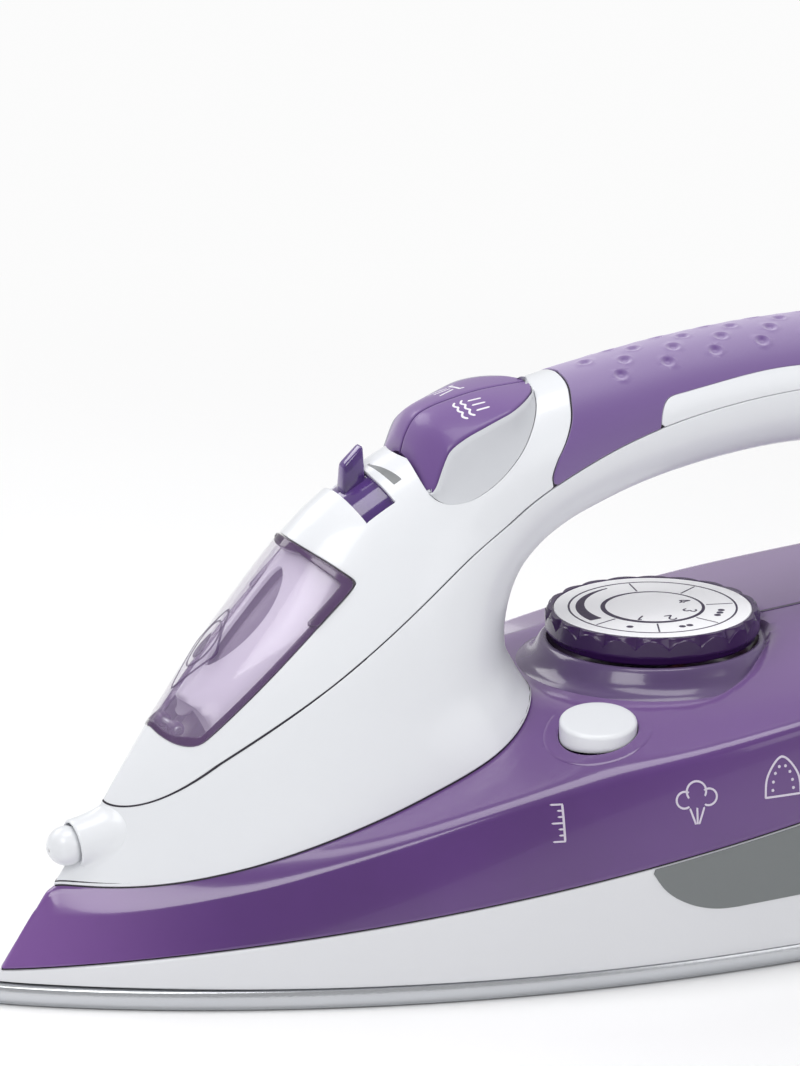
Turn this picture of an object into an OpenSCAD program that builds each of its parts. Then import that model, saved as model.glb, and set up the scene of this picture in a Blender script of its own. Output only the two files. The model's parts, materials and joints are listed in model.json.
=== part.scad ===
// Household steam iron, standing on its soleplate with the nose towards -X.
// Stations (t) are millimetres back from the nose tip. place() shifts them, so that
// the origin lies on the soleplate's underside, on the centre line.

/* [Overall] */
// Distance from the nose tip to the origin
nose_back = 140; // [130:1:150]
// Half width of the soleplate
sole_half_w = 57; // [55:0.5:58]
// Length of the soleplate
sole_len = 232; // [226:1:238]
// Half width of the heat skirt and tank at their widest
body_half_w = 59.3; // [58:0.1:60]
// Half width of the tank at its top crease
crease_half_w = 57; // [55:0.5:58]
// Station of the widest section
wide_at = 185; // [175:1:195]
// Station where skirt and tank end and the heel begins
body_end = 246; // [245:0.5:247]

/* [Walls] */
// Wall of the handle shells
shell_wall = 2.4; // [2:0.1:2.8]
// Wall of the water tank
tank_wall = 2.0; // [1.6:0.1:2.4]
// Wall of the heat skirt
skirt_wall = 2.2; // [1.8:0.1:2.6]
// Clearance between the upper shell and the handle grip
gap = 0.25; // [0.2:0.05:0.35]

/* [Dial] */
// Station of the dial axis
dial_at = 175.7; // [174:0.1:178]
// Outer radius of the dial
dial_r = 26; // [24:0.5:27]
// Height of the dial's underside above the sole
dial_z = 67.2; // [66.8:0.1:68]
// Radius of the printed disc
disc_r = 23.4; // [20:0.1:23.4]
// Number of finger flutes
dial_flutes = 20; // [12:1:28]

/* [Controls] */
// Half width of the pair of buttons
button_half_w = 15; // [14:0.1:15]
// Outer radius of the steam lever's slide
lever_r = 13.7; // [13.4:0.1:13.7]
// Number of steam vents in a row of the soleplate
vent_rows = 7; // [5:1:8]

/* [Cord] */
// Radius of the cord
cord_r = 3.4; // [3:0.1:3.8]
// Length of the tapered guard
guard_len = 46; // [40:1:52]
// Rise of the cord exit above the horizontal
cord_rise = 62; // [56:1:68]

/* [Hidden] */
$fn = 48;

white = [0.93, 0.93, 0.94];
purple = [0.40, 0.27, 0.52];
deep_purple = [0.20, 0.07, 0.33];
button_purple = [0.56, 0.45, 0.66];
clear_lilac = [0.62, 0.50, 0.72, 0.6];
panel_grey = [0.42, 0.45, 0.45];
base_grey = [0.8, 0.8, 0.82];
seat_grey = [0.8, 0.8, 0.84];
pale_grey = [0.88, 0.88, 0.9];
tubing = [0.85, 0.85, 0.8];
metal = [0.75, 0.76, 0.78];
screw_metal = [0.6, 0.6, 0.62];

// Shared places: stations on the centre line, or [station, y]
valve_at = 100;
funnel_at = 78;
burst_tube_at = [112, -8];
clean_at = [140.5, -36.5];
pump_at = 122;
pump_y = 8; // spray pump at +y, burst pump at -y
chamber_screws = [66, 141];
sole_screws_at = concat(chamber_screws, [220]);

// ---- smooth curves through tables ----
function segment(table, x, i = 0) =
  (i >= len(table) - 2 || x < table[i + 1][0]) ? i : segment(table, x, i + 1);
function rise(a, b) = (b[1] - a[1]) / (b[0] - a[0]);
// slope at entry i, one-sided at the ends
function slope(table, i) = rise(table[max(0, i - 1)], table[min(len(table) - 1, i + 1)]);
// Hermite curve through [x, value] entries
function curve(table, x) =
  let(i = segment(table, x), a = table[i], b = table[i + 1], h = b[0] - a[0],
    u = min(1, max(0, (x - a[0]) / h)))
  (2 * u * u * u - 3 * u * u + 1) * a[1]
  + (u * u * u - 2 * u * u + u) * h * slope(table, i)
  + (3 * u * u - 2 * u * u * u) * b[1]
  + (u * u * u - u * u) * h * slope(table, i + 1);
// Catmull-Rom spline through table rows, s in row numbers
function spline(rows, s) =
  let(n = len(rows) - 1, i = min(n - 1, max(0, floor(s))), u = s - i,
    a = rows[max(0, i - 1)], b = rows[i], c = rows[i + 1], d = rows[min(n, i + 2)])
  0.5 * (2 * b + (c - a) * u + (2 * a - 5 * b + 4 * c - d) * u * u
    + (3 * b - a - 3 * c + d) * u * u * u);
function smooth(a, b, x) = let(u = min(1, max(0, (x - a) / (b - a)))) u * u * (3 - 2 * u);

// ---- meshes ----
// a closed body from points and consistently ordered faces, turned the right way out
module solid(points, faces) {
  volumes = [for (f = faces) points[f[0]] * cross(points[f[1]], points[f[2]])];
  ones = [for (v = volumes) 1];
  inside_out = volumes * ones > 0;
  polyhedron(points, inside_out ? [for (f = faces) [f[0], f[2], f[1]]] : faces,
    convexity = 8);
}
function quad(a, b, c, d) = [[a, b, c], [a, c, d]];
// faces between successive rings; joined also links the last ring to the first
function sides(count, size, joined = false) = [
  for (i = [0:count - (joined ? 1 : 2)]) for (j = [0:size - 1])
    let(row = i * size, next = ((i + 1) % count) * size, k = (j + 1) % size)
    each quad(row + j, row + k, next + k, next + j)];
function flat(rings) = [for (r = rings) each r];
// loft through equal rings, ends closed by strips
module loft(rings) {
  count = len(rings);
  size = len(rings[0]);
  cap = function (o, flip) [for (j = [0:floor(size / 2) - 2])
    let(a = o + j, b = a + 1, c = o + size - 2 - j, d = c + 1)
    each (flip ? quad(a, b, c, d) : [[a, c, b], [a, d, c]])];
  solid(flat(rings),
    concat(cap(0, false), sides(count, size), cap((count - 1) * size, true)));
}
STEPS = 25; // intervals along each side of a boat ring
// loft through rings that start at a single nose point
module boat(rings) {
  count = len(rings);
  size = 2 * STEPS + 1;
  cap = function (o, flip) [for (i = [0:STEPS - 1])
    let(a = o + i, b = a + 1, c = o + size - (i + 1), d = o + size - i)
    each (i == 0 ? [flip ? [a, c, b] : [a, b, c]]
      : flip ? [[a, c, b], [a, d, c]] : quad(a, b, c, d))];
  solid(flat(rings),
    concat(cap(0, true), sides(count, size), cap((count - 1) * size, false)));
}
// the same rings joined end to end, for an open-ended wall
module boat_wall(rings) solid(flat(rings), sides(len(rings), 2 * STEPS + 1, true));

// ---- placing and simple shapes ----
module place(t = 0, y = 0, z = 0) translate([t - nose_back, y, z]) children();
module up(z) translate([0, 0, z]) children();
module rod(from, to, r) {
  v = to - from;
  translate(from) rotate([0, acos(v[2] / norm(v)), atan2(v[1], v[0])])
    cylinder(r = r, h = norm(v));
}
// rods through a list of points, with slightly larger balls at the bends
module bent_rod(points, r) {
  for (i = [0:len(points) - 2]) rod(points[i], points[i + 1], r);
  for (i = [1:1:len(points) - 2]) translate(points[i]) sphere(r = r + 0.25);
}
module tube(z, h, outer, inner) up(z) difference() {
  cylinder(r = outer, h = h);
  up(-1) cylinder(r = inner, h = h + 2);
}
// a side view outline [station, z], extruded across the iron
module side_prism(outline) {
  half = 70;
  rotate([90, 0, 0]) translate([0, 0, -half]) linear_extrude(2 * half) polygon(outline);
}

// ---- boat-shaped lower body ----
// station of the raked nose at height z
function nose_t(z) = max(0, 0.714 * z - 1.02);
// half width at station t of a plan that starts at station start
function plan(t, start, w) = t <= start ? 0
  : t < wide_at ? w * pow(1 - pow(1 - (t - start) / (wide_at - start), 2.1), 1 / 1.12)
  : w * (1 - 0.06 * pow((t - wide_at) / (body_end - wide_at), 2));
// height of the joint between skirt and tank
function z_joint(t) = 7.2 + 0.142 * t + 0.00008 * t * t;
// [station, height] of the tank's crease
CREASE = [
  [14, 21.2], [30, 22.6], [58, 28.9], [75, 34], [91, 39], [111, 45.3], [126, 49.3],
  [144, 53.2], [163, 56.4], [186, 60], [213, 63.6], [246, 67]];
// [station, height] of the deck's centre line
CENTRE = [
  [14, 24], [30, 31], [46, 36.5], [60, 40.5], [74, 43.6], [94, 48.5], [118, 55.5],
  [131, 60.5], [139, 63.6], [155, 65.4], [175, 66.6], [206, 69], [246, 72]];
dish_z = 60.9; // floor of the deck's dish under the dial
dish_r = 34;
dish_rim_r = 44;
function z_crease(t) = curve(CREASE, t);
function w_crease(t) = plan(t, nose_t(z_crease(t)), crease_half_w);
function z_crown(t, y) =
  let(w = max(0.5, w_crease(t)), centre = curve(CENTRE, t))
  centre - (centre - z_crease(t)) * pow(min(1, abs(y) / w), 2);
function z_deck(t, y) =
  let(z = z_crown(t, y), dish = 1 - smooth(dish_r, dish_rim_r, norm([t - dial_at, y])))
  z - dish * max(0, z - dish_z);

// nose point, +y side to the rear, -y side back to the nose
function both_sides(side) =
  concat(side, [for (i = [STEPS:-1:1]) [side[i][0], -side[i][1], side[i][2]]]);
// a ring from its half width y_at(t) and height z_at(t, y)
function boat_ring(start, inset, y_at, z_at) =
  let(end = body_end - inset) both_sides([for (i = [0:STEPS])
    let(t = start + (end - start) * pow(i / STEPS, 1.5), y = i == 0 ? 0 : y_at(t))
    [t, y, z_at(t, y)]]);
// half width of a wall at height z, set inwards by inset
function wall_y(t, z, w, inset, nose_inset = 0.6) =
  max(0.15, plan(t, min(t - 0.2, nose_t(z) + inset * nose_inset), w) - inset);

// ---- soleplate and steam chamber ----
sole_round_at = 196; // station where the rounding of the rear begins
element_y = 28;
element_z = 8.6;
element_r = 3.2;
element_front = 80;
element_rear = 206;
element_bend = 9; // radius of the upturned ends
chamber_front = 40;
chamber_len = 112;
edge_vents = [for (i = [0:11]) 16 + i * 13];
vent_r = 1.3;
function sole_w(t) =
  let(w = plan(t, 0, sole_half_w), k = sole_round_at)
  t < k ? w : w * sqrt(max(0, 1 - pow((t - k) / (sole_len - k), 2.6)));
function sole_ring(inset, z) = both_sides([for (i = [0:STEPS])
  let(u = (1 - cos(180 * i / STEPS)) / 2, t = inset * 1.6 + (sole_len - inset * 2.6) * u,
    least = i == STEPS ? 14 : 0.1)
  [t, i == 0 ? 0 : max(least, sole_w(min(t, sole_len - 2)) - inset), z]]);
module chamber_plan(inset) {
  side = [for (i = [0:16])
    let(t = chamber_front + inset + (chamber_len - 2 * inset) * (1 - cos(180 * i / 16)) / 2)
    [t, max(0.4, plan(t, 26, 52) - 7 - inset)]];
  polygon(concat(side, [for (i = [16:-1:0]) [side[i][0], -side[i][1]]]));
}
// U-shaped run of the element, closed towards the nose
module element_path(r) {
  for (s = [-1, 1])
    rod([element_front, s * element_y, element_z], [element_rear, s * element_y, element_z], r);
  translate([element_front, 0, element_z]) rotate([0, 0, 90])
    rotate_extrude(angle = 180) translate([element_y, 0]) circle(r);
}
module soleplate() color(metal) place() difference() {
  union() {
    boat([sole_ring(1.3, 0), sole_ring(0.3, 0.9), sole_ring(0, 2), sole_ring(0, 5)]);
    up(4.5) linear_extrude(9) difference() {
      chamber_plan(0);
      chamber_plan(2.4);
    }
    intersection() {
      element_path(4.5);
      translate([30, -50, 4]) cube([185, 100, 12]);
    }
    translate([dial_at, 0, 4.5]) cylinder(r = 13, h = 8);
    for (t = sole_screws_at) translate([t, 0, 4.5]) cylinder(r = 4, h = 8.7);
  }
  element_path(element_r + 0.06);
  for (t = edge_vents, s = [-1, 1])
    if (sole_w(t) > 12)
      translate([t, s * (sole_w(t) - 7.5), -1]) cylinder(r = vent_r, h = 7);
  for (i = [0:vent_rows - 1], s = [-1, 1])
    translate([58 + i * 12, s * (4 + i * 1.3), -1]) cylinder(r = vent_r, h = 7);
  for (t = sole_screws_at) translate([t, 0, 3]) cylinder(r = 1.55, h = 12);
}
module heating_element() color([0.35, 0.35, 0.37]) place() {
  end_t = element_rear + element_bend;
  end_z = element_z + element_bend;
  element_path(element_r);
  for (s = [-1, 1]) translate([0, s * element_y, 0]) {
    translate([element_rear, 0, end_z]) rotate([90, 0, 0]) rotate([0, 0, -90])
      rotate_extrude(angle = 90) translate([element_bend, 0]) circle(element_r);
    rod([end_t, 0, end_z], [end_t, 0, 24], element_r);
    rod([end_t, 0, 23.9], [end_t, 0, 30], 1.2);
  }
}
module steam_chamber_cover() color([0.66, 0.67, 0.69]) place() difference() {
  up(14.6) linear_extrude(1.4) difference() {
    chamber_plan(0.2);
    for (t = chamber_screws) translate([t, 0]) circle(2.1);
  }
  up(13) {
    translate([valve_at, 0]) cylinder(r = 3.7, h = 5);
    translate(burst_tube_at) cylinder(r = 2.3, h = 5);
    translate(clean_at) cylinder(r = 4.2, h = 5);
  }
}
module chamber_seal() color([0.7, 0.3, 0.2]) place(z = 13.6) linear_extrude(0.9)
  difference() {
    chamber_plan(0.3);
    chamber_plan(2.2);
  }
module sole_screws() color(screw_metal)
  for (t = sole_screws_at) place(t) difference() {
    head_z = t == 220 ? 13.4 : 16.1; // the rear screw sits lower
    union() {
      up(head_z) cylinder(r = 3, h = 2);
      up(4) cylinder(r = 1.5, h = head_z - 3.9);
    }
    translate([-2.4, -0.4, head_z + 1]) cube([4.8, 0.8, 2]);
  }

// ---- thermostat and dial ----
module thermostat_body() color([0.85, 0.84, 0.78]) place(dial_at) difference() {
  union() {
    up(12.6) cylinder(r = 11, h = 9.4);
    up(21.9) cylinder(r = 6, h = 4);
    for (s = [-1, 1]) translate([9, s * 6 - 1.5, 14]) cube([12, 3, 0.8]);
  }
  up(16) cylinder(r = 3.1, h = 12);
}
module thermostat_spindle() color([0.8, 0.78, 0.7]) place(dial_at) difference() {
  up(16.3) cylinder(r = 3, h = 54.9);
  translate([2, -4, 67.8]) cube([4, 8, 6]);
}
module spindle_tube() color(clear_lilac) place(dial_at) {
  foot = z_floor(dial_at) + 3.5;
  tube(foot, h = 61.2 - foot, outer = 6.2, inner = 4.4);
  tube(foot, h = 1.8, outer = 7.6, inner = 4.4);
}
module temperature_dial() color(deep_purple) place(dial_at, 0, dial_z) difference() {
  union() {
    cylinder(r1 = dial_r - 0.8, r2 = dial_r, h = 1.2);
    up(1.19) cylinder(r = dial_r, h = 4.6);
    up(5.78) cylinder(r1 = dial_r, r2 = dial_r - 1, h = 1);
  }
  for (i = [0:dial_flutes - 1]) rotate([0, 0, i * 360 / dial_flutes])
    translate([dial_r + 2.5, 0, 2.4]) cylinder(r = 4.2, h = 8);
  up(5.5) cylinder(r = disc_r + 0.15, h = 4);
  // D-shaped socket for the spindle
  up(-1) difference() {
    cylinder(r = 3.08, h = 5.4);
    translate([2.1, -4, 1.6]) cube([4, 8, 6]);
  }
  // annular hollow underneath
  up(-1) difference() {
    cylinder(r = dial_r - 3, h = 4);
    cylinder(r = 6, h = 5);
  }
}
module dial_disc() color(white) place(dial_at, 0, dial_z + 5.6) cylinder(r = disc_r, h = 1.3);
module dial_collar() color([0.45, 0.4, 0.55]) place(dial_at, 0, 62.1) difference() {
  cylinder(r1 = 29.8, r2 = 26.6, h = 4.8);
  up(-0.01) cylinder(r1 = 28, r2 = 24.8, h = 4.9);
}
module pilot_lamp() color([1, 0.5, 0.2]) place(dial_at + 13, 14) {
  up(61.6) cylinder(r = 2.2, h = 3.2);
  up(64.7) sphere(r = 2.2);
}
module thermal_fuse() color([0.8, 0.75, 0.6]) place(0, 42, 8.2) {
  rod([172, 0, 0], [190, 0, 0], 2.6);
  rod([166, 0, 0], [196, 0, 0], 0.6);
}

// ---- heat skirt, panels, tank ----
skirt_foot_z = 5.3;
skirt_foot_w = body_half_w - 0.9;
function skirt_top(t) = z_joint(t) - 0.25;
function skirt_ring(inset, top) =
  let(w = top ? body_half_w : skirt_foot_w,
    z_at = function (t, y) top ? skirt_top(t) : skirt_foot_z)
  boat_ring(nose_t(top ? z_joint(5) : skirt_foot_z) + inset * 1.4, inset,
    function (t) wall_y(t, z_at(t, 0), w, inset), z_at);
module heat_skirt() color(white) place() difference() {
  boat_wall([skirt_ring(0, false), skirt_ring(0, true),
    skirt_ring(skirt_wall, true), skirt_ring(skirt_wall, false)]);
  translate([240, -11, 17]) cube([12, 22, 12]);
}
// [station, height] of the accent panels' lower edge
PANEL = [
  [147.4, 29], [150.8, 24.1], [155.4, 20.7], [160.7, 18.6], [166, 17.8], [174, 18],
  [185, 18.4], [246, 19.4]];
PANEL_STATIONS = [147.6, 149, 150.8, 153, 155.4, 158, 161, 166, 172, 180, 190, 200, 212,
  224, 235, 245.6];
// half width of the skirt's outside at height z
function skirt_y(t, z) =
  let(top = skirt_top(t), k = (z - skirt_foot_z) / (top - skirt_foot_z))
  (1 - k) * plan(t, nose_t(skirt_foot_z), skirt_foot_w) + k * plan(t, nose_t(top), body_half_w);
module accent_panels() color(panel_grey) place() for (s = [-1, 1])
  loft([for (t = PANEL_STATIONS)
    let(low = curve(PANEL, t), high = max(low + 0.3, z_joint(t) - 0.6),
      low_y = skirt_y(t, low), high_y = skirt_y(t, high))
    [[t, s * (low_y + 0.15), low], [t, s * (low_y + 0.8), low + 0.15],
      [t, s * (high_y + 0.8), high - 0.1], [t, s * (high_y + 0.15), high]]]);
// deck rings shrink towards the centre line by share
function deck_ring(start, share, dz = 0, inset = 0) = boat_ring(start, inset,
  function (t) max(0.12 * share, share * max(0, w_crease(t) - inset)),
  function (t, y) z_deck(t, y) + dz);
// ring of the tank's side wall, level 0 at the joint and 1 at the crease
function tank_ring(level, w, inset = 0) =
  let(z_at = function (t, y)
    (1 - level) * z_joint(t) + level * z_crease(t) + (level == 0 ? 0.05 : 0))
  boat_ring(5.5 + 8.5 * level + inset * 1.5, inset,
    function (t) wall_y(t, z_at(t, 0), w, inset), z_at);
module tank_shell() color(clear_lilac) place() difference() {
  boat(concat(
    [for (share = [0.2, 0.5, 0.8, 1]) deck_ring(17.4, share, -tank_wall, tank_wall)],
    [tank_ring(0.5, body_half_w - 0.3, tank_wall), tank_ring(0, body_half_w, tank_wall),
      tank_ring(0, body_half_w), tank_ring(0.5, body_half_w - 0.3)],
    [for (share = [1, 0.85, 0.7, 0.54, 0.38, 0.2]) deck_ring(14.2, share)]));
  translate([dial_at, 0, 50]) cylinder(r = 6.5, h = 20);
  translate([funnel_at, 0, 30]) cylinder(r = 7.4, h = 30);
  translate([valve_at, 0, 40]) cylinder(r = 2.6, h = 20);
  for (s = [-1, 1]) translate([pump_at, s * pump_y, 40]) cylinder(r = 2.4, h = 25);
  up(40) translate(burst_tube_at) cylinder(r = 2.4, h = 25);
  clean_oval(9.5, z = 45, h = 20);
}
function z_floor(t) = max(18.8, z_joint(t) + 1.4);
function floor_ring(dz, inset) =
  let(z_at = function (t, y) z_floor(t) + dz)
  boat_ring(nose_t(19) + inset * 1.5, inset,
    function (t) wall_y(t, z_at(t, 0), body_half_w - 0.4, inset, 0.75), z_at);
module tank_base() color(base_grey) place() difference() {
  boat([for (dz = [0, 2]) floor_ring(dz, tank_wall + 0.8)]);
  translate([dial_at, 0, 20]) cylinder(r = 3.6, h = 30);
  up(15) {
    translate([valve_at, 0]) cylinder(r = 3.7, h = 20);
    translate(burst_tube_at) cylinder(r = 2.4, h = 20);
    translate(clean_at) cylinder(r = 4.2, h = 30);
  }
}

// ---- handle body: ribs from the outer profile to the inner profile ----
// outer point t, z; inner point t, z; half width; sag; position of the widest point;
// two exponents on its outer side; two on its inner side; position of the seam
RIB = [
  [19, 28, 139, 65, 31.5, 7.9, 0.68, 1.9, 1.1, 3, 2, 0],
  [27, 39, 135.5, 69.5, 30, 6.3, 0.66, 1.9, 1.25, 3, 2, 0],
  [38, 55.5, 133, 75.5, 27.5, 3.6, 0.62, 1.95, 1.45, 2.8, 2, 0.17],
  [52, 74, 134, 84, 25.3, 1.4, 0.58, 2, 1.65, 2.6, 2, 0.39],
  [66, 90, 138, 91.8, 22.8, 0.3, 0.54, 2, 1.8, 2.4, 2, 0.53],
  [78.4, 103.8, 144.4, 97.3, 20.3, 0, 0.52, 2.05, 1.9, 2.3, 2, 0.6],
  [88.5, 112.3, 152, 101.3, 18.6, 0, 0.5, 2.1, 2, 2.3, 2, 0.62],
  [104, 121, 159, 103.8, 17.6, 0, 0.5, 2.2, 2, 2.3, 2, 0.59],
  [122, 128.8, 168, 106.6, 17, 0, 0.5, 2.2, 2, 2.3, 2, 0.56],
  [141, 134.6, 178, 108.9, 16.6, 0, 0.5, 2.2, 2, 2.3, 2, 0.52],
  [160, 138, 190, 110.8, 16.5, 0, 0.5, 2.2, 2, 2.2, 2, 0.475],
  [181, 140.8, 203, 112, 16.5, 0, 0.5, 2.2, 2, 2.2, 2, 0.45],
  [205, 142.4, 214, 112, 16.7, 0, 0.5, 2.2, 2, 2.2, 2, 0.436],
  [230, 141.8, 226, 110.6, 17.2, 0, 0.5, 2.2, 2, 2.2, 2, 0.43],
  [251, 137.2, 235, 106.5, 18.5, 0, 0.5, 2.3, 2, 2.3, 2, 0.43],
  [264, 127, 240.5, 99, 21, 0, 0.5, 2.5, 2, 2.4, 2, 0.42],
  [269.3, 114, 243, 91, 25, 0, 0.5, 2.8, 2.1, 2.6, 2.1, 0.42],
  [271.5, 100.6, 244.6, 84, 30, 0, 0.5, 3.2, 2.4, 3, 2.4, 0.41],
  [273.8, 86, 246, 77.5, 37, 0, 0.5, 4, 3, 4, 3, 0.4],
  [276, 72.5, 246.8, 72.5, 45, 0, 0.5, 5, 4, 8, 5, 0.4],
  [278, 60, 246.8, 60, 51, 0, 0.5, 5, 4, 12, 7, 0.4],
  [280.4, 45, 246.8, 45, 55, 0, 0.5, 5, 4, 12, 7, 0.4],
  [283.1, 28, 246.8, 28, 56, 0, 0.5, 5, 4, 12, 7, 0.4],
  [285, 16, 246.8, 16, 55, 0, 0.5, 5, 4, 12, 7, 0.4],
  [285.2, 9, 246.8, 9, 52.5, 0, 0.5, 5, 4, 12, 7, 0.4]];
seam_start = 1.45; // rib position where the seam between the shells begins
foot_ribs = 1.2; // rib position up to which the foot is fitted to the deck
// share of the half width at position u across a rib; e holds the four exponents
function bulge(u, widest, e) = u < widest
  ? pow(max(0, 1 - pow(1 - u / widest, e[0])), 1 / e[1])
  : pow(max(0, 1 - pow((u - widest) / (1 - widest), e[2])), 1 / e[3]);
// a point at rib position s and angle a, grown outwards by grow;
// a is 0 at the outer profile and 180 at the inner one
function rib_point(s, a, grow) =
  let(rib = spline(RIB, s), dx = rib[2] - rib[0], dz = rib[3] - rib[1], reach = norm([dx, dz]),
    u = (1 - cos(a)) / 2, d = -grow + (reach + 2 * grow) * u,
    side = a < 0 || a > 180 ? -1 : 1,
    width = bulge(u, rib[6], [rib[7], rib[8], rib[9], rib[10]]))
  [rib[0] + dx / reach * d, side * (rib[4] + grow) * width,
    rib[1] + dz / reach * d - max(0, rib[5]) * abs(sin(a))];
// the foot is fitted to the deck, standing off it by lift
function body_point(s, a, grow, lift) =
  let(p = rib_point(s, a, grow))
  s >= foot_ribs ? p
  : let(q = rib_point(0, a, grow))
    p + [0, 0, (z_deck(q[0], q[1]) + lift - q[2]) * (1 - smooth(0, foot_ribs, s))];
function seam_angle(s) =
  let(f = s <= seam_start ? 0
    : s < 2 ? 0.17 * sqrt((s - seam_start) / (2 - seam_start))
    : spline(RIB, s)[11])
  acos(1 - 2 * f);
// a curved wall between angles low(s) and high(s), grown from inner to outer;
// rows up to number closed are joined into full rings
module body_wall(ribs, steps, low, high, inner, outer, closed = -1, lift = 0) {
  last = len(ribs) - 1;
  size = steps + 1;
  n = len(ribs) * size;
  layer = function (grow) [for (s = ribs) for (j = [0:steps])
    body_point(s, low(s) + (high(s) - low(s)) * j / steps, grow, lift)];
  id = function (i, j) i * size + (i <= closed && j == steps ? 0 : j);
  // strip linking the outer edge a-b to the inner one
  edge = function (a, b) quad(a, b, b + n, a + n);
  outside = [for (i = [0:last - 1]) for (j = [0:steps - 1])
    each quad(id(i, j), id(i, j + 1), id(i + 1, j + 1), id(i + 1, j))];
  inside = [for (f = outside) [f[0] + n, f[2] + n, f[1] + n]];
  seams = [for (i = [max(0, closed):1:last - 1])
    each concat(edge(id(i, 0), id(i + 1, 0)), edge(id(i + 1, steps), id(i, steps)))];
  ends = [for (j = [0:steps - 1])
    each concat(edge(id(0, j + 1), id(0, j)), edge(id(last, j), id(last, j + 1)))];
  solid(concat(layer(outer), layer(inner)), concat(outside, inside, seams, ends));
}
// the part of the body outside the seam, widened by margin degrees
module crest_wall(ribs, steps, inner, outer, margin = 0)
  body_wall(ribs, steps, function (s) -seam_angle(s) - margin,
    function (s) seam_angle(s) + margin, inner, outer);

// rib positions of each piece
CREST_RIBS = [1.7, 2, 2.4, 2.9, 3.4, 3.9, 4.4, 5, 5.5, 6, 6.6, 7.3, 8, 8.6, 9.2, 9.8];
GRIP_RIBS = [6.6, 7.3, 8, 8.6, 9.2, 9.8, 10.4, 11, 12, 13.1];
LOWER_RIBS = concat([0, 0.35, 0.75, 1.1, seam_start], CREST_RIBS, [10.4, 11, 12, 13.1]);
DOOR_RIBS = [1.7, 2, 2.4, 2.9, 3.4, 3.9, 4.4, 5, 5.6, 6.2];
// side view outlines [station, z]: door opening, door, button opening, front of the grip
DOOR_CUT = [
  [47.6, 57.4], [53.2, 59.6], [60, 67], [70.5, 78.6], [80, 88.6], [90.2, 97.4],
  [84, 103.6], [77, 110], [60, 104], [30, 70], [41, 59.8]];
DOOR = [
  [50.4, 58.9], [53.2, 60.2], [59.8, 67.4], [70.3, 79], [79.8, 89], [89.6, 97.5],
  [83.8, 103.1], [77, 109.4], [60, 104], [34, 76], [43.8, 61.9]];
BUTTON_CUT = [
  [106.9, 142], [107.2, 116], [108.3, 110.2], [114, 109.9], [119, 111.4], [124, 114.2],
  [128.8, 117.3], [133.6, 121.8], [136.9, 125.6], [139.4, 129], [142, 131.6], [143, 142]];
GRIP_FRONT = [
  [140.8, 108], [140.6, 113.7], [140.4, 116], [141.8, 119.5], [144.1, 123.2],
  [146.4, 127.8], [147.8, 132.1], [148.9, 134.7], [149.1, 136.4], [149.1, 142]];
hinge = [48.3, 0, 62.4];
module hinge_rod(half, r) rod(hinge - [0, half, 0], hinge + [0, half, 0], r);
// z points forwards out of the nozzle, slightly down
module nozzle_frame() translate([24.6, 0, 36.3]) rotate([0, -98, 0]) children();
module lower_shell() color(white) place() difference() {
  union() {
    low = function (s) s <= seam_start ? 0 : seam_angle(s) + 1.4;
    body_wall(LOWER_RIBS, 22, low, function (s) 360 - low(s), -shell_wall, 0,
      closed = 4, lift = 1.9);
    nozzle_frame() up(-7) difference() {
      cylinder(r1 = 5, r2 = 5.5, h = 7.9);
      up(-1) cylinder(r = 3.3, h = 10);
    }
  }
  nozzle_frame() up(2.4) sphere(r = 4.95);
  nozzle_frame() up(-12) cylinder(r = 3.3, h = 20);
}
module upper_shell() color(white) place() difference() {
  crest_wall(CREST_RIBS, 14, -shell_wall, 0);
  side_prism(DOOR_CUT);
  side_prism(BUTTON_CUT);
  side_prism(concat(GRIP_FRONT, [[200, 150], [200, 100]]));
  lever_frame() translate([-30, -11.8, -4.1]) cube([24, 23.6, 8.2]);
}
module handle_grip() color(purple) place() difference() {
  crest_wall(GRIP_RIBS, 14, -shell_wall, 0.1);
  side_prism(concat([for (p = GRIP_FRONT) p + [gap, 0]],
    [[90, 150], [90, 90], [140.4, 100]]));
}
module filler_door() color([0.7, 0.6, 0.78, 0.75]) place() difference() {
  union() {
    intersection() {
      crest_wall(DOOR_RIBS, 16, -2, 0.3, margin = 4);
      side_prism(DOOR);
    }
    hinge_rod(5.6, 2.1);
    for (s = [-1, 1]) translate(hinge + [0, s * 4 - 1.5, -1.2]) cube([5, 3, 4]);
  }
  hinge_rod(12, 1.06);
}
module door_pin() color(metal) place() hinge_rod(7, 1);
module filler_funnel() color(white) place(funnel_at) difference() {
  union() {
    up(41) cylinder(r = 7, h = 20);
    up(61) cylinder(r1 = 7, r2 = 10.6, h = 16);
    up(77) cylinder(r = 10.6, h = 3);
  }
  up(40) cylinder(r = 5.6, h = 21.5);
  up(61.2) cylinder(r1 = 5.6, r2 = 9.4, h = 15.9);
  up(77) cylinder(r = 9.4, h = 4);
}

// ---- spray nozzle and tubes ----
module spray_nozzle() color([0.85, 0.86, 0.88]) place() nozzle_frame() difference() {
  union() {
    up(2.4) sphere(r = 4.75);
    up(-9.5) cylinder(r = 3, h = 9);
  }
  up(5.4) cylinder(r = 2.2, h = 4);
  up(-10) cylinder(r = 1.2, h = 16);
}
module nozzle_insert() color([0.3, 0.3, 0.33]) place() nozzle_frame() up(5.5) difference() {
  cylinder(r = 2.1, h = 1.1);
  up(-1) cylinder(r = 0.4, h = 3);
}
module spray_tube() color(tubing) place()
  bent_rod([[113.4, 8.6, 87.8], [106, 13, 82], [62, 13, 60], [40, 3.6, 41], [35.2, 0.9, 38.2]],
    1.7);
module burst_tube() color(tubing) place()
  bent_rod([[114.6, -8, 88], [112, -8, 88], [112, -8, 15]], 1.9);

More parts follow.
